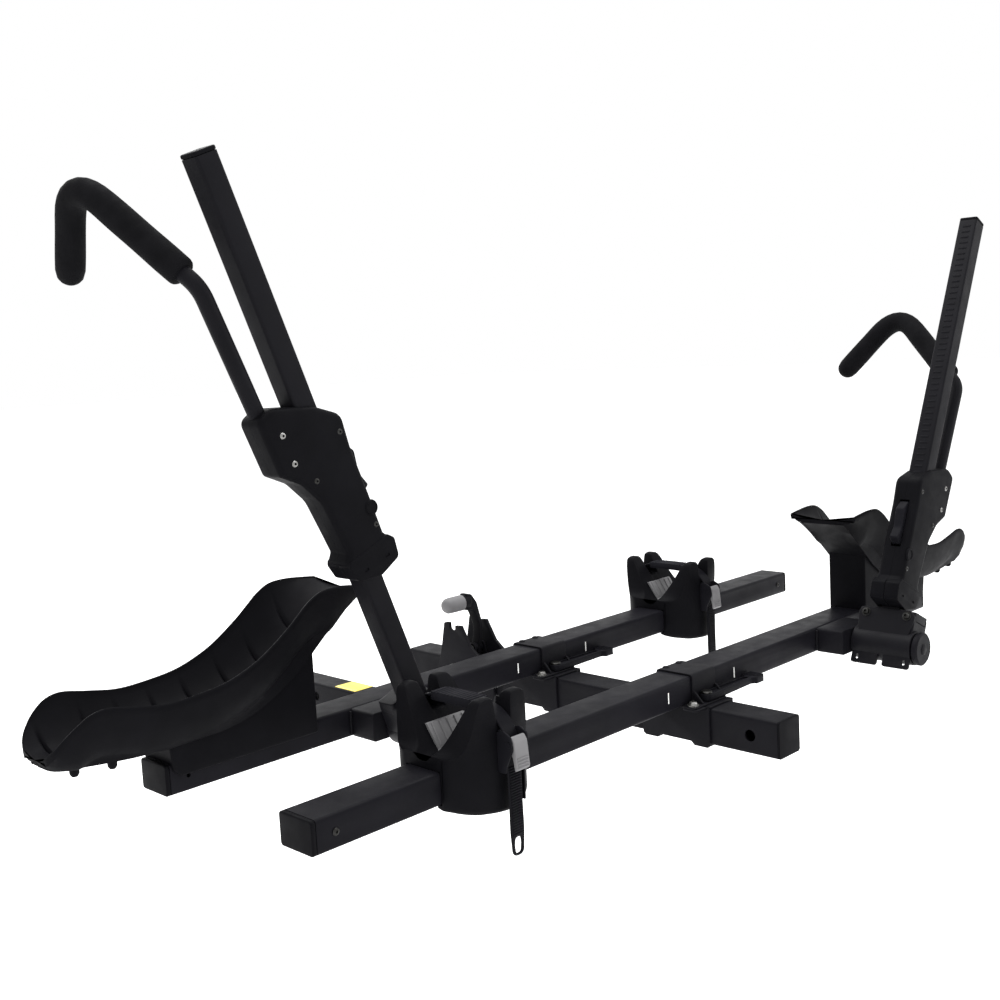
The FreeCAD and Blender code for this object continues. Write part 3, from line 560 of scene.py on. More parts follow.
for tray in TRAYS:
    y, name = tray["y"], tray["name"]
    y0, y1, top, low = y - 58, y + 56, BAR_Z - 0.4, BAR_Z - 58
    wall = rounded([(y0, top), (y1, top), (y1, low + 3, 3), (y1 - 4, low, 3), (y1 - 26, low, 3),
                    (y1 - 31, low + 5, 3), (y0 + 31, low + 5, 3), (y0 + 26, low, 3), (y0 + 4, low, 3),
                    (y0, low + 3, 3)])
    saddle = plate(rounded([(-29.4, y0, 3), (-29.4, y - 54, 0), (-50, y - 54, 5), (-50, y - 29, 5),
                            (-29.4, y - 28, 3), (-29.4, y1, 3), (29.4, y1, 3), (29.4, y0, 3)]), top - 3, top,
                   "Z", 0.6)
    for side in (-1, 1):
        x0, x1 = sorted((side * 25.5, side * 29.4))
        saddle = join(saddle, plate(wall, x0, x1, "X", 0.7))
        for a, b in ((y0 + 4, y0 + 26), (y1 - 26, y1 - 4)):
            x0, x1 = sorted((side * 13, side * 27.5))
            saddle = join(saddle, block((x0, a, low), (x1, b, low + 3), 0.7))
    place(name + "_saddle", saddle, textured_coat, "spine", "textured_steel", [name + "_saddle"])

    half, crown = BAR_W / 2 + 0.4, BAR_H + 0.6
    line = rounded([(-half, 0), (-half, crown, 4), (half, crown, 4), (half, 0), (half + 12, 0, 1),
                    (half + 12, 2.5, 1), (half + 2.5, 2.5, 1.5), (half + 2.5, crown + 2.5, 6),
                    (-half - 2.5, crown + 2.5, 6), (-half - 2.5, 0, 0)])
    line = [(y + a, BAR_Z - 0.4 + b) for a, b in line]
    band = plate(line, -27, 27, "X", 0.6)
    for x in (-15, 15):
        band = join(band, turned([(0, 5), (1.2, 4.6), (2.0, 3)], (x, y + half - 6, BAR_Z + crown + 1.9),
                                 (0, 0, 1), 20))
    lug = rounded([(-50, y - half - 22, 6), (27, y - half - 22, 6), (27, y - half, 0), (-50, y - half, 4)])
    band = join(band, plate(lug, BAR_Z - 0.4, BAR_Z + 2.1, "Z", 0.6))
    gusset = rounded([(y - half - 2.5, BAR_Z + 2), (y - half - 20, BAR_Z + 2, 2),
                      (y - half - 2.5, BAR_Z + 20, 3)])
    for x in (-26.6, 23.6):
        band = join(band, plate(gusset, x, x + 3, "X", 0.6))
    place(name + "_band", band, textured_coat, "spine", "textured_steel", [name + "_clamp_band"])

    near = y - half - 12
    studs = join(dome((-15, y + half + 7, BAR_Z + 2.1), (0, 0, 1), 5.5, 4, 2.4),
                 dome((15, y + half + 7, BAR_Z + 2.1), (0, 0, 1), 5.5, 4, 2.4),
                 turned([(0, 8), (1.2, 8)], (-40, near, BAR_Z + 2.1), (0, 0, 1)),
                 dome((-40, near, BAR_Z + 3.2), (0, 0, 1), 6.0, 4.6, 2.8))
    place(name + "_clamp_bolts", studs, zinc, "spine", "plated_steel", [name + "_clamp_studs"])
    post = turned([(0, 5), (11, 5), (11.1, 8), (12.4, 8), (13.6, 6.4)], (-8, near, BAR_Z + 2.1), (0, 0, 1))
    place(name + "_cam_pivot", post, black_zinc, "spine", "plated_steel")

    z0 = BAR_Z + 2.6
    shape = rounded([(-16.5, near - 8.5, 8), (-16.5, near + 8.5, 8), (20, near + 8, 10), (92, near + 5, 3),
                     (96, near + 10.5, 3), (114, near + 11, 5), (116, near - 14, 5), (97, near - 14, 3),
                     (91, near - 8, 3), (20, near - 10, 10)])
    handle = plate([shape, [(x - 8, near + b) for x, b in ring(5.4)]], z0, z0 + 10, "Z", 1.8, 3)
    for k in range(6):
        x = 97.5 + 3.2 * k
        handle = join(handle, block((x, near - 13.2, z0 - 0.5), (x + 1.5, near + 10, z0 + 10.8), 0.5, 1))
    rib = rounded([(4, near - 5, 2), (4, near + 4.5, 2), (88, near + 2.5, 2), (88, near - 5, 2)])
    handle = carve(handle, plate(rib, z0 + 7.5, z0 + 14, "Z", 0.1, 1))
    place(name + "_cam_lever", handle, satin_lever, name + "_clamp_lever", "textured_steel",
          [name + "_clamp_lever"])

# ---- tray bars ----
# Rectangular steel tube in satin powder coat, closed by moulded caps that a screw holds in the
# near face.  White index marks show where the bar may be clamped.  A box stub welded to the near
# face carries the shaft on which the arm folds.
# BAR_END is half a bar's length with its caps, PIVOT_X and PIVOT_Z the shaft from the bar's middle
# and underside, CAP_SCREW and PEDESTAL_SCREWS the screws' places along the bar.
BAR_END = 673
PIVOT_X, PIVOT_Z = 352, 15
CAP_SCREW = 643
PEDESTAL_SCREWS = (490, 640)
satin_coat = powder_coat("satin_powder_coat", 0.0065, 0.42, 0.9, 0.10, 0.04)


def mark_paint():
    s = Shade("white_mark_paint", (0.82, 0.82, 0.80), 0.5)
    worn = s.noise(1.6, 4.0, 0.6)
    s.bump(worn, 0.02, 0.5)
    return s.finish(s.ramp(worn, [(0.3, (0.6, 0.6, 0.58)), (0.5, (0.86, 0.86, 0.84))]))


white_paint = mark_paint()


def row_tree(name):
    """Geometry Nodes tree: copies one template at even steps along a line, as one solid mesh."""
    tree = bpy.data.node_groups.new(name, "GeometryNodeTree")
    for label, kind in (("Template", "NodeSocketObject"), ("Count", "NodeSocketInt"),
                        ("Start", "NodeSocketVector"), ("Step", "NodeSocketVector"),
                        ("Finish", "NodeSocketMaterial")):
        tree.interface.new_socket(label, in_out="INPUT", socket_type=kind)
    tree.interface.new_socket("Geometry", in_out="OUTPUT", socket_type="NodeSocketGeometry")
    into, out = tree.nodes.new("NodeGroupInput"), tree.nodes.new("NodeGroupOutput")
    line = tree.nodes.new("GeometryNodeMeshLine")
    line.mode = "OFFSET"
    info = tree.nodes.new("GeometryNodeObjectInfo")
    copies = tree.nodes.new("GeometryNodeInstanceOnPoints")
    solid = tree.nodes.new("GeometryNodeRealizeInstances")
    paint = tree.nodes.new("GeometryNodeSetMaterial")
    for a, b in ((into.outputs["Count"], line.inputs["Count"]),
                 (into.outputs["Start"], line.inputs["Start Location"]),
                 (into.outputs["Step"], line.inputs["Offset"]),
                 (into.outputs["Template"], info.inputs["Object"]),
                 (line.outputs["Mesh"], copies.inputs["Points"]),
                 (info.outputs["Geometry"], copies.inputs["Instance"]),
                 (copies.outputs["Instances"], solid.inputs["Geometry"]),
                 (solid.outputs["Geometry"], paint.inputs["Geometry"]),
                 (into.outputs["Finish"], paint.inputs["Material"]),
                 (paint.outputs["Geometry"], out.inputs["Geometry"])):
        tree.links.new(a, b)
    return tree


even_row = row_tree("even_row")


def row_of(template, count, start, step, finish):
    """Mesh of a template (a bmesh in millimetres) repeated by the even_row tree."""
    mesh = bpy.data.meshes.new("template")
    template.to_mesh(mesh)
    template.free()
    source = bpy.data.objects.new("template", mesh)
    scene.collection.objects.link(source)
    host = bpy.data.objects.new("row", bpy.data.meshes.new("row"))
    scene.collection.objects.link(host)
    nodes = host.modifiers.new("row", "NODES")
    nodes.node_group = even_row
    sockets = {item.name: item.identifier
               for item in even_row.interface.items_tree if item.in_out == "INPUT"}
    for label, value in (("Template", source), ("Count", count), ("Start", start), ("Step", step),
                         ("Finish", finish)):
        nodes[sockets[label]] = value
    bpy.context.view_layer.update()
    made = bpy.data.meshes.new_from_object(host.evaluated_get(bpy.context.evaluated_depsgraph_get()))
    out = bmesh.new()
    out.from_mesh(made)
    bpy.data.objects.remove(host)
    bpy.data.objects.remove(source)
    bpy.data.meshes.remove(made)
    return out


def on_bar(tray):
    """From a bar drawn about the origin with its arm end at +X, to its place on the rack."""
    return Matrix.Translation((0, tray["y"], BAR_Z)) @ Matrix.Diagonal((tray["side"], 1, 1, 1))


for tray in TRAYS:
    name, body, fit = tray["name"], tray["name"] + "_tray", on_bar(tray)
    bar = plate(tube_outline(BAR_W / 2, BAR_H / 2, (0, BAR_H / 2), 2.5, 5), -BAR_END + 6, BAR_END - 6, "X",
                0.5)
    holes = [turned([(-3, 2.7), (6, 2.7)], (x, -BAR_W / 2, BAR_H / 2), (0, 1, 0), 20)
             for x in (-CAP_SCREW, CAP_SCREW)]
    place(name + "_bar_tube", carve(bar, *holes), satin_coat, body, "satin_steel", [name + "_bar"], fit)

    caps = []
    for end in (-1, 1):
        face = oblong(-BAR_W / 2, 0, BAR_W / 2, BAR_H, 5)
        x0, x1 = sorted((end * BAR_END, end * (BAR_END - 6)))
        caps.append(plate(face, x0, x1, "X", 1.8, 3))
        plug = oblong(-24, 4, 24, BAR_H - 4, 3)
        x0, x1 = sorted((end * (BAR_END - 5), end * (BAR_END - 42)))
        caps.append(plate(plug, x0, x1, "X", 0.5, 1))
    place(name + "_bar_end_caps", join(*caps), nylon, body, "moulded_plastic", [name + "_bar_caps"], fit)

    screws = [dome((-CAP_SCREW, -BAR_W / 2, BAR_H / 2), (0, -1, 0), 4.2, 2.2, 1.9)]
    screws += [dome((x, BAR_W / 2 + 5, 28), (0, 1, 0), 6.0, 2.8, 2.6) for x in PEDESTAL_SCREWS]
    place(name + "_bar_screws", join(*screws), black_zinc, body, "plated_steel", [name + "_tray_screws"],
          fit)

    mark = block((-1.0, -BAR_W / 2 - 0.12, BAR_H / 2 - 7), (1.0, -BAR_W / 2 + 0.2, BAR_H / 2 + 8), 0.05, 1)
    marks = row_of(mark, 3, (-78, 0, 0), (78, 0, 0), white_paint)
    place(name + "_index_marks", marks, white_paint, body, "satin_steel", (), fit)

    stub = plate(oblong(PIVOT_X - 46, 0, PIVOT_X + 46, BAR_H, 5), -73, -BAR_W / 2, "Y", 1.2, 3)
    welds = [weld_bead([(x, -29.5, 3), (x, -29.5, 35)], 2.2) for x in (PIVOT_X - 47.5, PIVOT_X + 47.5)]
    stub = join(stub, *welds,
                turned([(0, 12), (98, 12)], (PIVOT_X, -171, PIVOT_Z), (0, 1, 0)),
                turned([(0, 22.5), (2, 25), (8, 25), (9, 24)], (PIVOT_X, -182, PIVOT_Z), (0, 1, 0), 44),
                turned([(0, 7), (1.0, 9), (3, 9)], (PIVOT_X, -183.5, PIVOT_Z), (0, 1, 0), 6))
    place(name + "_arm_stub_box", stub, textured_coat, body, "textured_steel", [name + "_arm_stub"], fit)

# ---- front-wheel scoops ----
# Blow-moulded nylon spoon that climbs towards the arm.  The wheel rests in its trough, which is
# crossed by eight shallow grooves; a hollow pedestal under it straddles the bar and is screwed on.


def between(table, x):
    """Smooth value at x from a short table of (x, value)."""
    if x <= table[0][0]:
        return table[0][1]
    for i in range(len(table) - 1):
        if x <= table[i + 1][0]:
            p = [table[max(i - 1, 0)], table[i], table[i + 1], table[min(i + 2, len(table) - 1)]]
            t = (x - p[1][0]) / (p[2][0] - p[1][0])
            m1 = (p[2][1] - p[0][1]) / (p[2][0] - p[0][0]) * (p[2][0] - p[1][0])
            m2 = (p[3][1] - p[1][1]) / (p[3][0] - p[1][0]) * (p[2][0] - p[1][0])
            return ((2 * t ** 3 - 3 * t ** 2 + 1) * p[1][1] + (t ** 3 - 2 * t ** 2 + t) * m1
                    + (3 * t ** 2 - 2 * t ** 3) * p[2][1] + (t ** 3 - t ** 2) * m2)
    return table[-1][1]


# Heights of the scoop's rim, trough floor and underside, and its half width, along the bar.
RIM = [(380, 204), (400, 206.5), (430, 209), (455, 207), (475, 197), (490, 185), (506, 172), (540, 149),
       (566, 136), (600, 125), (640, 120), (680, 119), (720, 126), (752, 132), (772, 128), (788, 117),
       (800, 105), (808, 94), (812.5, 86)]
FLOOR = [(380, 196), (400, 190), (430, 172), (475, 136), (520, 108), (575, 90), (640, 81), (720, 80),
         (790, 80), (812.5, 79)]
UNDER = [(380, 190), (392, 182), (430, 150), (456, 128), (480, 108), (520, 84), (560, 68), (600, 61),
         (700, 60), (740, 63), (790, 68), (806, 70), (812.5, 74)]
SPAN = [(380, 57), (700, 57), (760, 56.5), (785, 53), (800, 46), (808, 38), (812.5, 27)]
GROOVES = (790, 735, 690, 645, 600, 550, 505, 455)


def scoop_section(x):
    """Points around the scoop's wall at x: trough from rim to rim, then back round the outside."""
    rim, floor_z, under, span = (between(t, x) for t in (RIM, FLOOR, UNDER, SPAN))
    groove = sum(math.exp(-((x - g) / 1.9) ** 2) for g in GROOVES)
    pad = sum(math.exp(-((x - g - 12) / 9.0) ** 2) for g in GROOVES)
    points = []
    steps = 26
    for k in range(steps + 1):
        a = -1 + 2 * k / steps
        shape = abs(a) ** 2.3
        cut = (5.2 * groove - 1.2 * pad) * max(0.0, 1 - abs(a / 0.88) ** 8)
        points.append((x, a * (span - 3.2), floor_z + (rim - 1.4 - floor_z) * shape - cut))
    for a, lift in ((-3.0, 0.0), (-1.1, 0.6), (0.4, -0.6), (0.9, -2.6)):
        points.append((x, span + a, rim + lift))
    low_side = max(under, rim - 58)
    outer = [(span - 0.6, rim - 9), (span - 3.5, rim - 0.45 * (rim - low_side)),
             (span - 10, rim - 0.8 * (rim - low_side)), (span - 17, low_side + 2),
             (span - 19, low_side - 0.2)]
    if under < low_side - 1:
        outer += [(span - 20, (low_side + under) / 2), (span - 21, under + 1)]
    else:
        outer += [(span - 19.6, low_side - 0.6), (span - 20.4, under + 0.2)]
    outer += [(span * 0.35, under), (0, under)]
    points += [(x, max(a, 0), z) for a, z in outer]
    points += [(x, -max(a, 0), z) for a, z in outer[-2::-1]]
    for a, lift in ((0.9, -2.6), (0.4, -0.6), (-1.1, 0.6), (-3.0, 0.0)):
        points.append((x, -span - a, rim + lift))
    return points


def skin(rings, close=True):
    """Closed surface through a list of equally long rings, its two ends capped."""
    bm = bmesh.new()
    loops = [[bm.verts.new(p) for p in points] for points in rings]
    n = len(loops[0])
    for a, b in zip(loops, loops[1:]):
        for k in range(n):
            bm.faces.new((a[k], a[(k + 1) % n], b[(k + 1) % n], b[k]))
    if close:
        for loop in (loops[0], loops[-1]):
            centre = bm.verts.new(sum((v.co for v in loop), Vector()) / n)
            for k in range(n):
                bm.faces.new((loop[k], loop[(k + 1) % n], centre))
    return bm


stations = set(range(380, 801, 5)) | {802, 804, 806, 808, 810, 811.5, 812.5}
for g in GROOVES:
    stations |= {g - 3, g - 1.6, g, g + 1.6, g + 3}
stations = sorted(stations)

for tray in TRAYS:
    name, body, fit = tray["name"], tray["name"] + "_tray", on_bar(tray)
    shell = skin([scoop_section(x) for x in stations])
    wide = BAR_W / 2 + 4.6
    leg = rounded([(455, 22, 3), (655, 22, 10), (664, 30, 10), (668, 66), (600, 70), (520, 92), (455, 136)])
    leg = plate(leg, -wide, wide, "Y", 2.4, 3)
    cavity = plate([(459, 10), (640, 10), (640, 55), (600, 58), (520, 78), (459, 118)], -BAR_W / 2 - 0.3,
                   BAR_W / 2 + 0.3, "Y", 0.1, 1)
    wells = [turned([(0, 8), (8, 8)], (x, BAR_W / 2 + 5, 28), (0, 1, 0)) for x in PEDESTAL_SCREWS]
    leg = carve(leg, cavity, block((640, -BAR_W / 2 - 0.2, -6), (700, BAR_W / 2 + 0.2, BAR_H + 0.2), 0),
                *wells)
    nubs = [turned([(0, 9), (6, 8), (9, 5)], (x, 0, 68 if x > 770 else 64), (0, 0, -1), 24)
            for x in (780, 735)]
    feet = [turned([(0, 6), (10, 5.4), (13, 3.4)], (x, s * 24, 70 if x > 770 else 66), (0, 0, -1), 20)
            for x in (780, 735) for s in (-1, 1)]
    place(name + "_scoop_shell", join(shell, leg, *nubs, *feet), nylon, body, "moulded_plastic",
          [name + "_scoop"], fit, 38)

# ---- folding arms ----
# Cast knuckle that turns on the stub's shaft, with a bolted yoke that grips the foot of a square
# steel mast.  The mast has ratchet teeth down its inboard face and a moulded cap on top.
# MAST is half the mast's width, KNUCKLE half the knuckle's length along its shaft, and ARM_Y the
# knuckle's middle from the bar's.
MAST = 15
KNUCKLE = 48
ARM_Y = -123


def on_arm(tray):
    """From an arm drawn upright about its pivot (x outward, z up the mast) to its place on the rack."""
    lean = math.radians(tray["lean"])
    s = tray["side"]
    x_axis = (s * math.cos(lean), 0, -math.sin(lean))
    z_axis = (s * math.sin(lean), 0, math.cos(lean))
    columns = Matrix((x_axis, (0, 1, 0), z_axis)).transposed().to_4x4()
    return Matrix.Translation((s * PIVOT_X, tray["y"] + ARM_Y, BAR_Z + PIVOT_Z)) @ columns


cast_coat = powder_coat("cast_powder_coat", 0.005, 0.46, 1.6, 0.22, 0.08)

for tray in TRAYS:
    name, body, fit = tray["name"], tray["name"] + "_arm", on_arm(tray)
    barrel = plate([rounded(ring(26, steps=48)), ring(12.1, steps=32)], -KNUCKLE, KNUCKLE, "Y", 1.6, 3)
    web = plate(rounded([(-19, -8, 4), (-19, 50, 3), (-16, 52, 2), (-16, 40, 0), (16, 40, 0), (16, 52, 3),
                         (23.5, 46, 8), (25, 4, 4)]), -KNUCKLE + 3, KNUCKLE - 3, "Y", 1.4, 3)
    seats = [plate(oblong(-19, y0, 24, y1, 5), 36, 51.5, "Z", 1.2, 2)
             for y0, y1 in ((-KNUCKLE + 3, -MAST - 0.4), (MAST + 0.4, KNUCKLE - 3))]
    face = plate(rounded([(-KNUCKLE + 8, 8, 4), (KNUCKLE - 8, 8, 4), (KNUCKLE - 2, 44, 8), (38, 52, 4),
                          (-38, 52, 4), (-KNUCKLE + 2, 44, 8)]), -22, -17, "X", 1.4, 3)
    tabs = []
    for y0, y1, hole_y in ((-KNUCKLE, -5, -KNUCKLE + 9), (4, KNUCKLE - 2, KNUCKLE - 11)):
        flap = rounded([(y0, -37, 5), (y1, -37, 4), (y1, -8, 2), (y0, -8, 2)])
        hole = oblong(hole_y - 2.6, -31, hole_y + 2.6, -24, 2.5)
        tabs.append(plate([flap, hole], -17.5, -12, "X", 1.1, 2))
    barrel = join(barrel, web, face, *seats, *tabs)
    place(name + "_knuckle_casting", barrel, cast_coat, body, "textured_steel", [name + "_knuckle"], fit, 40)

    heads = [dome((-22.8, y, 43), (-1, 0, 0), 5.2, 4.0, 2.4) for y in (-33, 33)]
    washers = [turned([(0, 7), (1.2, 7)], (-21.9, y, 43), (-1, 0, 0)) for y in (-33, 33)]
    place(name + "_yoke_bolts", join(*heads, *washers), black_zinc, body, "plated_steel",
          [name + "_knuckle_bolts"], fit)

    mast = plate(tube_outline(MAST, MAST, (0, 0), 2.5, 4), 30, tray["mast"] - 0.5, "Z", 0.4)
    tooth = plate(rounded([(-MAST + 0.3, -2.6), (-MAST + 0.3, 2.2), (-MAST - 0.7, 1.2, 0.4),
                           (-MAST - 0.7, -0.6, 0.4)]),
                  -6.5, 6.5, "Y", 0.3, 1)
    teeth = row_of(tooth, 62, (0, 0, 96), (0, 0, 10), textured_coat)
    place(name + "_mast_tube", join(mast, teeth), textured_coat, body, "textured_steel", [name + "_mast"],
          fit)

    mast_top = tray["mast"]
    cap = plate(oblong(-MAST, -MAST, MAST, MAST, 4), mast_top - 0.4, mast_top + 5, "Z", 2.0, 4)
    plug = plate(oblong(-12, -12, 12, 12, 2), mast_top - 17, mast_top + 1, "Z", 0.4, 1)
    place(name + "_mast_top_cap", join(cap, plug), nylon, body, "moulded_plastic", [name + "_mast_cap"], fit)

# ---- hook housings and release triggers ----
# Two moulded nylon shells screwed together round the mast.  The wide shoulder clamps the hook's
# rod, the waist is a hand grip, and a flared collar closes the bottom.  A paddle in the inboard
# edge frees the pawl so that the whole hook can be raised or lowered.
HOUSING = [(71, 474, 12), (69, 404, 8), (46, 382, 26), (30, 350, 40), (25, 300, 30), (23, 277, 5),
           (31, 268, 6), (26, 243, 9), (-9, 231, 14), (-42, 239, 10), (-44, 262, 6), (-36, 275, 5),
           (-36.5, 330, 10), (-36, 392, 8), (-40, 432, 18), (-8, 457, 30), (48, 480, 16)]
COLLAR = [(28, 268, 5), (31, 262, 6), (26, 241, 8), (-9, 229.5, 12), (-43, 237, 8), (-46, 262, 6),
          (-38, 271, 5)]
# Half the housing's and the collar's thickness, and half the gap between the two shells.
HOUSING_HALF, COLLAR_HALF = 21.5, 22.6
SEAM = 0.12


def mast_channel():
    """Cutter for the square bore that the mast runs in."""
    wide = MAST + 0.6
    return block((-wide, -wide, 200), (wide - 0.2, wide, 520), 0)


for tray in TRAYS:
    name, body, fit = tray["name"], tray["name"] + "_hook", on_arm(tray)
    lift = Matrix.Translation((0, 0, tray["hook"]))
    for half, way in (("near", -1), ("far", 1)):
        shell = plate(rounded(HOUSING, steps=8), -HOUSING_HALF, HOUSING_HALF, "Y", 7.5, 5)
        lip_low, lip_high = sorted((way * COLLAR_HALF, way * SEAM))
        lip = plate(rounded(COLLAR, steps=6), lip_low, lip_high, "Y", 1.4, 3)
        shell = carve(shell, mast_channel(),
                      turned([(0, 10.15), (110, 10.15)], (54, 0, 412), (8, 0, 218), 32),
                      block((-50, -8, 322), (-20, 8, 398), 0))
        lip = carve(lip, mast_channel(),
                    *[block((x, -30, 246), (x + 7, -20.6, 249.5), 0.4) for x in (-30, 6)])
        geometry = list(shell.verts) + list(shell.edges) + list(shell.faces)
        bmesh.ops.bisect_plane(shell, geom=geometry, plane_co=(0, way * SEAM, 0), plane_no=(0, -way, 0),
                               clear_outer=True)
        bmesh.ops.remove_doubles(shell, verts=shell.verts, dist=0.003)
        rim = [e for e in shell.edges if len(e.link_faces) == 1]
        bmesh.ops.triangle_fill(shell, use_beauty=True, edges=rim)
        shell = join(shell, lip)
        if half == "near":
            boss = turned([(0, 10), (1.6, 9.2), (2.4, 8.0), (1.4, 7.2), (1.4, 0.3)], (-30, -20.9, 312),
                          (0, -1, 0), 32)
            shell = join(shell, boss)
        place(name + "_housing_shell_" + half, shell, nylon, body, "moulded_plastic",
              [name + "_housing_" + half], fit @ lift, 38)

    screws = [dome((x, -20.6, z), (0, -1, 0), 3.9, 2.0, 1.7) for x, z in ((48, 446), (47, 410))]
    place(name + "_housing_bright_screws", join(*screws), zinc, body, "plated_steel",
          [name + "_housing_screws"], fit @ lift)
    dark = [dome((x, -20.8, z), (0, -1, 0), 3.6, 1.6, 1.6) for x, z in ((28, 378), (-27, 415), (-28, 290))]
    place(name + "_housing_black_screws", join(*dark), black_zinc, body, "plated_steel", (), fit @ lift)

    paddle = plate(rounded([(-23, 326, 2), (-23, 396, 2), (-37, 395, 4), (-47, 380, 8), (-42, 352, 20),
                            (-49, 333, 3), (-36, 326, 3)], steps=6), -7, 7, "Y", 1.8, 3)
    place(name + "_trigger_paddle", paddle, satin_lever, name + "_trigger", "moulded_plastic",
          [name + "_release_trigger"], fit @ lift)

# ---- wheel hooks ----
# Bent round steel rod clamped in the housing; it rises beside the mast, arches over the tyre and
# drops behind it.  A tube of closed-cell foam covers the arch down to its rounded tip.


def eased(points, radius, steps=9):
    """Open line in space with its corners rounded and its runs divided."""
    line = [Vector(points[0])]
    for i in range(1, len(points) - 1):
        here = Vector(points[i])
        back, ahead = (Vector(points[i - 1]) - here), (Vector(points[i + 1]) - here)
        r = min(radius / math.tan(back.angle(ahead) / 2), 0.45 * back.length, 0.45 * ahead.length)
        start, end = here + back.normalized() * r, here + ahead.normalized() * r
        for k in range(steps + 1):
            t = k / steps
            line.append(start * (1 - t) ** 2 + here * 2 * t * (1 - t) + end * t * t)
    line.append(Vector(points[-1]))
    divided = [line[0]]
    for a, b in zip(line, line[1:]):
        count = max(1, round((b - a).length / 9))
        divided += [a.lerp(b, (k + 1) / count) for k in range(count)]
    return divided


def pipe(line, radius_at, steps=28):
    """Round skin along a line; radius_at gives the radius at a share of the line's length."""
    lengths = [0]
    for a, b in zip(line, line[1:]):
        lengths.append(lengths[-1] + (b - a).length)
    side = (line[1] - line[0]).orthogonal().normalized()
    rings = []
    for i, p in enumerate(line):
        along = (line[min(i + 1, len(line) - 1)] - line[max(i - 1, 0)]).normalized()
        side = (side - along * side.dot(along)).normalized()
        other = along.cross(side)
        r = radius_at(lengths[i], lengths[-1])
        angles = [2 * math.pi * k / steps for k in range(steps)]
        rings.append([p + (side * math.cos(a) + other * math.sin(a)) * r for a in angles])
    return skin(rings)


def foam_radius(at, total):
    """Foam tube: slightly rolled first edge, faint waists, domed tip."""
    body = 17.0 + 0.25 * math.sin(at / 31.0) + 0.2 * math.sin(at / 13.0)
    if at < 4:
        body -= 2.2 * (1 - at / 4) ** 2
    tip = total - at
    if tip < 17:
        body *= math.sqrt(max(0.0, 1 - ((17 - tip) / 17.4) ** 2))
    return max(body, 0.6)


def foam_skin():
    """Closed-cell foam with a tight skin: soft mottling, fine pores, faint creases in the bends."""
    s = Shade("black_foam", (0.0035, 0.0035, 0.0042), 0.72, Sheen_Weight=0.01, Sheen_Roughness=0.45,
              Specular_IOR_Level=0.02)
    cloud = s.noise(30, 4.0)
    pores = s.add("TexVoronoi", {"Vector": s.place, "Scale": 900.0}, feature="F1").outputs["Distance"]
    s.bump(s.noise(14, 3.0), 0.5, 0.5)
    s.bump(pores, 0.10, 0.6)
    s.bump(s.noise(1.4, 3.0), 0.08, 0.6)
    colour = s.ramp(cloud, [(0.3, (0.0040, 0.0040, 0.0046)), (0.7, (0.0065, 0.0064, 0.0074))])
    return s.finish(colour, s.ramp(s.noise(9, 3.0), [(0.3, 0.62), (0.7, 0.80)]))


foam_finish = foam_skin()

for tray in TRAYS:
    name, body = tray["name"], tray["name"] + "_hook"
    fit = on_arm(tray) @ Matrix.Translation((0, 0, tray["hook"]))
    bend, apex, tip = Vector((62, 0, 630)), Vector((75.5, 138, 778)), Vector((82.6, 218, 675))
    path = [(54, 0, 414), bend, apex, tip - (tip - apex).normalized() * 14]
    rod = pipe(eased(path, 38), lambda at, total: 10)
    place(name + "_hook_bar", rod, textured_coat, body, "textured_steel", [name + "_hook_rod"], fit, 40)
    start = bend + (apex - bend).normalized() * 26
    end = tip + (tip - apex).normalized() * 16.5
    line = eased([start, apex, end], 46)
    while (line[-1] - line[-2]).length > 2.0:
        line.insert(-1, line[-2].lerp(line[-1], 0.45))
    line = [line[0], line[0].lerp(line[1], 0.2), line[0].lerp(line[1], 0.5)] + line[1:]
    foam = pipe(line, foam_radius, 36)
    foam = place(name + "_hook_foam_tube", foam, foam_finish, body, "foam", [name + "_hook_foam"], fit, 60)

# ---- rear-wheel cradles ----
# Moulded nylon saddle that wraps the bar and slides along it.  Its V holds the tyre between two
# pairs of horns, with a ribbed insert in the bottom of the V.
# CRADLE_HALF is half its length along the bar.
CRADLE_HALF = 62


def cradle_section(x):
    """Ring of points in (y, z) at x: under the lip, up the outside, down the V, and back round the bar."""
    ax = abs(x)
    wall = 31 + 41 * max(0.0, 1 - (ax / CRADLE_HALF) ** 2) ** 0.6
    lip = 28.9
    low = between([(0, -17), (30, -14), (50, -9), (62, -4.5)], ax)
    top = between([(0, 86), (9, 86), (11, 90), (13.5, 112), (16, 118), (32, 118), (37, 112), (43, 86),
                   (50, 64), (62, 54)], ax)
    top = max(top, 54)

    def outside(z):
        return wall + (68 - wall) * max(0.0, (z - 46) / 72) ** 1.4

    def inside(z):
        return 8 + 42 * max(0.0, (z - 48) / 62) ** 0.85

    half = [(21, low + 1.2), (24, low), (lip + 0.25 * (wall - lip), low - 1.2),
            (lip + 0.72 * (wall - lip), low - 0.3), (lip + 0.93 * (wall - lip), low + 2.5), (wall, low + 7),
            (wall, 16), (wall, 34), (wall, 46)]
    half += [(outside(46 + (top - 46) * share), 46 + (top - 46) * share) for share in (0.3, 0.6, 0.85)]
    edge = min(2.2, 0.3 * (outside(top) - inside(top)))
    half += [(outside(top) - 0.2, top - 1.4), (outside(top) - edge, top), (inside(top) + edge, top),
             (inside(top - 1.6) + 0.2, top - 1.6)]
    half += [(inside(48 + (top - 50) * share), 48 + (top - 50) * share) for share in (0.75, 0.5, 0.25, 0.1)]
    half += [(8, 48), (3, 46.6)]
    channel = [(-21, -0.5), (-28.5, -0.5), (-28.5, BAR_H + 0.5), (28.5, BAR_H + 0.5), (28.5, -0.5),
               (21, -0.5)]
    return [(x, y, z) for y, z in half + [(-y, z) for y, z in half[::-1]] + channel]


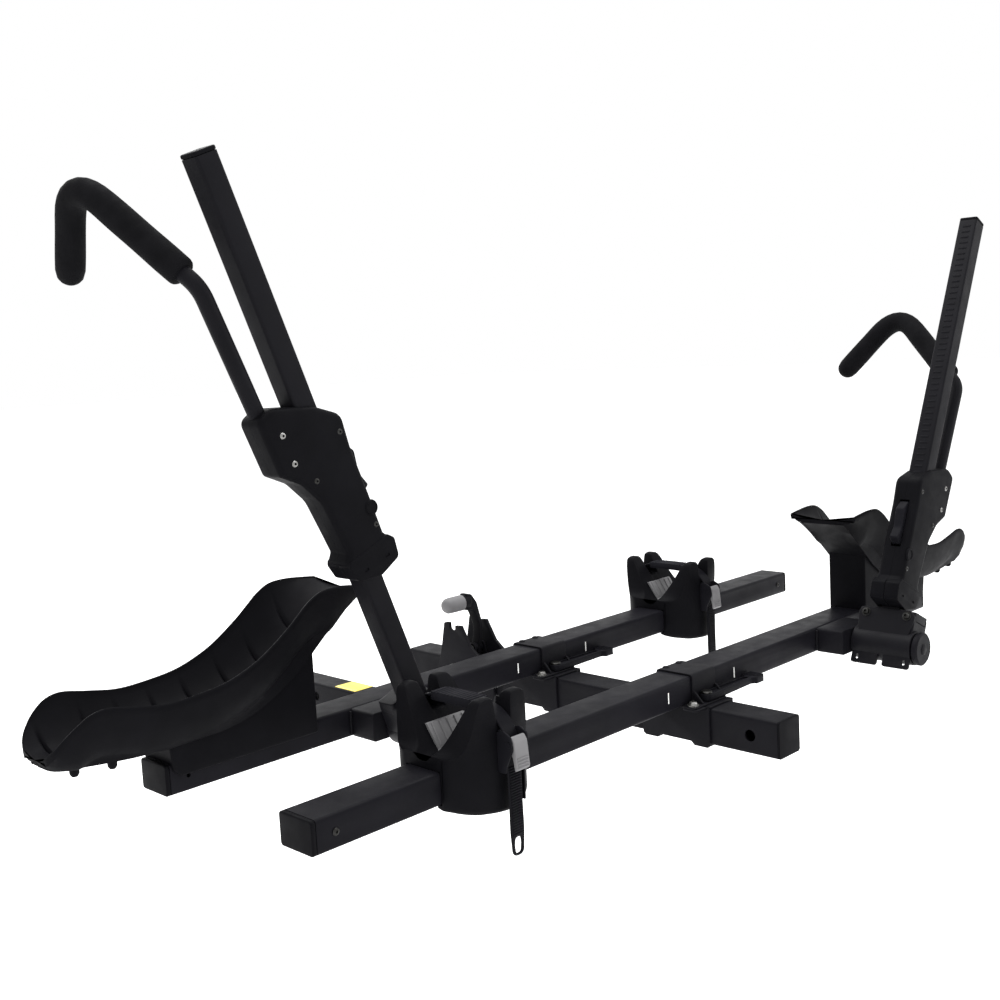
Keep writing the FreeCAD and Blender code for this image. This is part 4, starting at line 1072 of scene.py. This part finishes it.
cradle_stations = {s * x for s in (-1, 1)
                   for x in (3, 7, 9, 10.2, 11, 12, 13, 14, 15, 16.5, 20, 26, 31, 33, 35, 37, 39, 41, 43)}
cradle_stations |= {s * CRADLE_HALF * math.sin(math.radians(a)) for s in (-1, 1)
                    for a in (47, 51, 55, 60, 65, 70, 75, 80, 84, 87, 90)}
cradle_stations = sorted(cradle_stations | {0})
for tray in TRAYS:
    name, body = tray["name"], tray["name"] + "_cradle"
    fit = Matrix.Translation((tray["cradle"], tray["y"], BAR_Z))
    saddle = skin([cradle_section(x) for x in cradle_stations], close=False)
    for x in (-CRADLE_HALF, CRADLE_HALF):
        end = [v for v in saddle.verts if abs(v.co.x - x) < 0.01]
        saddle.faces.new(end)
    bmesh.ops.triangulate(saddle, faces=[f for f in saddle.faces if len(f.verts) > 4])
    bmesh.ops.recalc_face_normals(saddle, faces=saddle.faces)
    ribs = []
    for side in (-1, 1):
        for x in (15, 21, 27):
            rib = rounded([(side * 66, -10), (side * 66, 60), (side * 71.5, 60, 1), (side * 70, -10, 1)])
            ribs.append(plate(rib, x, x + 2.2, "X", 0.5, 1))
    place(name + "_cradle_saddle", join(saddle, *ribs), nylon, body, "moulded_plastic", [name + "_cradle"],
          fit, 42)

    rib = block((-1.6, -7.5, 46.5), (1.6, 7.5, 50.4), 0.8, 2)
    insert = row_of(rib, 7, (-24, 0, 0), (8, 0, 0), grey_nylon)
    base = plate(oblong(-32, -8.5, 32, 8.5, 3), 46, 49.4, "Z", 0.8, 2)
    wings = []
    for side in (-1, 1):
        wing = rounded([(side * 8, 46), (side * 8.5, 50.5), (side * 25, 76, 1), (side * 30, 76, 1)])
        wings.append(plate(wing, -30, 30, "X", 0.4, 1))
        for x in (-24, -12, 0, 12, 24):
            ridge = rounded([(side * 10, 50), (side * 9, 52.6, 1), (side * 23.5, 76.5, 1), (side * 26, 75)])
            wings.append(plate(ridge, x - 1, x + 1, "X", 0.3, 1))
    place(name + "_cradle_insert", join(insert, base, *wings), grey_nylon, body, "grey_plastic", (), fit)

# ---- ratchet straps ----
# Ladder strap of flexible nylon that runs through the horns' notches and over the rim of the rear
# wheel, with a soft ribbed sleeve in the middle.  A ratchet buckle outside the near wall holds it
# with a thumb lever, and the toothed tail hangs down to an oval pull loop.
STRAP_LINE = [(66, 78), (63, 90), (52, 100), (34, 104), (0, 103.5), (-34, 103), (-54, 100), (-68, 91),
              (-77, 78), (-81, 56), (-81.5, 30), (-82, -10), (-82, -40)]


def strip(line, thick, half_width):
    """Flat strip along a line in (y, z), its edges rounded; half_width gives the half width at a point."""
    rings = []
    for i, (y, z) in enumerate(line):
        a, b = Vector(line[max(i - 1, 0)]), Vector(line[min(i + 1, len(line) - 1)])
        along = (b - a).normalized()
        out = Vector((-along.y, along.x))
        w, t = half_width(y, z), thick / 2
        ring_points = []
        for sx, st in ((-1, -0.5), (-0.94, -1), (0.94, -1), (1, -0.5), (1, 0.5), (0.94, 1), (-0.94, 1),
                       (-1, 0.5)):
            ring_points.append((sx * w, y + out.x * t * st, z + out.y * t * st))
        rings.append(ring_points)
    return skin(rings)


smooth_line = []
for i in range(len(STRAP_LINE) - 1):
    p = [Vector(STRAP_LINE[max(0, min(i + k, len(STRAP_LINE) - 1))]) for k in (-1, 0, 1, 2)]
    for step in range(6):
        t = step / 6
        square = 2 * p[0] - 5 * p[1] + 4 * p[2] - p[3]
        cube = 3 * p[1] - p[0] - 3 * p[2] + p[3]
        smooth_line.append(tuple(0.5 * (2 * p[1] + (p[2] - p[0]) * t + square * t * t + cube * t ** 3)))
smooth_line.append(STRAP_LINE[-1])
strap_nylon = moulded("strap_nylon", 0.006, 0.34, 0.7, 0.04)
sleeve_rubber = moulded("sleeve_rubber", 0.010, 0.60, 0.8, 0.08)

for tray in TRAYS:
    name, body = tray["name"], tray["name"] + "_cradle"
    fit = Matrix.Translation((tray["cradle"], tray["y"], BAR_Z))
    strap = strip(smooth_line, 2.6, lambda y, z: 10.5)
    tooth = block((-8.6, -1.6, -1.0), (8.6, 0.4, 0.7), 0.4, 1)
    teeth = row_of(tooth, 26, (0, -83, -38), (0, 0, 3.1), strap_nylon)
    loop_outer = rounded([(-10.5, -20, 0), (10.5, -20, 0), (10.5, -36, 10), (8.5, -63.5, 8),
                          (-8.5, -63.5, 8), (-10.5, -36, 10)], 0, 8)
    loop_inner = rounded([(-4.2, -42, 4), (4.2, -42, 4), (5.6, -50, 8), (4.4, -60.5, 4), (-4.4, -60.5, 4),
                          (-5.6, -50, 8)], 0, 8)
    loop = plate([loop_outer, loop_inner], -83.6, -80.4, "Y", 1.2, 3)
    knob = turned([(-9, 3.2), (-8.5, 4.4), (8.5, 4.4), (9, 3.2)], (0, 65.5, 76), (1, 0, 0), 20)
    place(name + "_ladder_strap", join(strap, teeth, loop, knob), strap_nylon, body, "strap_plastic",
          [name + "_strap"], fit)

    sleeve = strip([(36 - 2.9 * k, 103.2 + 0.8 * math.sin(k * math.pi / 24)) for k in range(25)], 10.0,
                   lambda y, z: 13.6 - 1.8 * (abs(y) / 37) ** 6)
    rib = block((-13.4, -0.9, 107.2), (13.4, 0.9, 109.4), 0.7, 1)
    ribs = row_of(rib, 11, (0, -29, 0), (0, 5.8, 0), sleeve_rubber)
    sleeve = place(name + "_strap_sleeve", join(sleeve, ribs), sleeve_rubber, body, "soft_pad",
                   [name + "_strap_pad"], fit)

    walls = [plate(rounded([(-71, 34, 3), (-71, 80, 3), (-82, 82, 4), (-92, 77, 5), (-94, 62, 6),
                            (-84, 42, 8), (-83, 34, 3)]), x, x + 2.6, "X", 0.7, 2) for x in (-14, 11.4)]
    floor_plate = plate(rounded([(-71.5, 34, 1), (-71.5, 82, 1), (-76, 82, 1), (-77.5, 34, 1)]), -12, 12,
                        "X", 0.5, 2)
    back = plate(rounded([(-64, 36, 1), (-64, 72, 1), (-72, 72, 1), (-72, 36, 1)]), -9, 9, "X", 0.6, 2)
    buckle_pin = turned([(0, 3.6), (1.4, 3.6), (1.5, 2.5), (28.9, 2.5), (29, 3.6), (30.4, 3.6)],
                        (-15.2, -88, 68), (1, 0, 0), 20)
    place(name + "_buckle_frame", join(floor_plate, back, buckle_pin, *walls), satin_lever, body,
          "moulded_plastic", [name + "_buckle_base"], fit)

    tab = rounded([(-84.5, 74, 2), (-90, 77, 4), (-94.5, 70, 4), (-96, 55, 20), (-97.5, 40, 3),
                   (-93.5, 37, 3), (-91, 52, 20), (-86, 62, 6)], 0, 6)
    tab = plate(tab, -10.6, 10.6, "X", 1.2, 3)
    grips = [block((-8.5, -98.1 + 0.25 * k, 41 + 3.4 * k), (8.5, -96.6 + 0.25 * k, 42.4 + 3.4 * k), 0.4, 1)
             for k in range(4)]
    place(name + "_buckle_thumb_lever", join(tab, *grips), grey_nylon, name + "_buckle_lever",
          "grey_plastic", [name + "_buckle_lever"], fit)
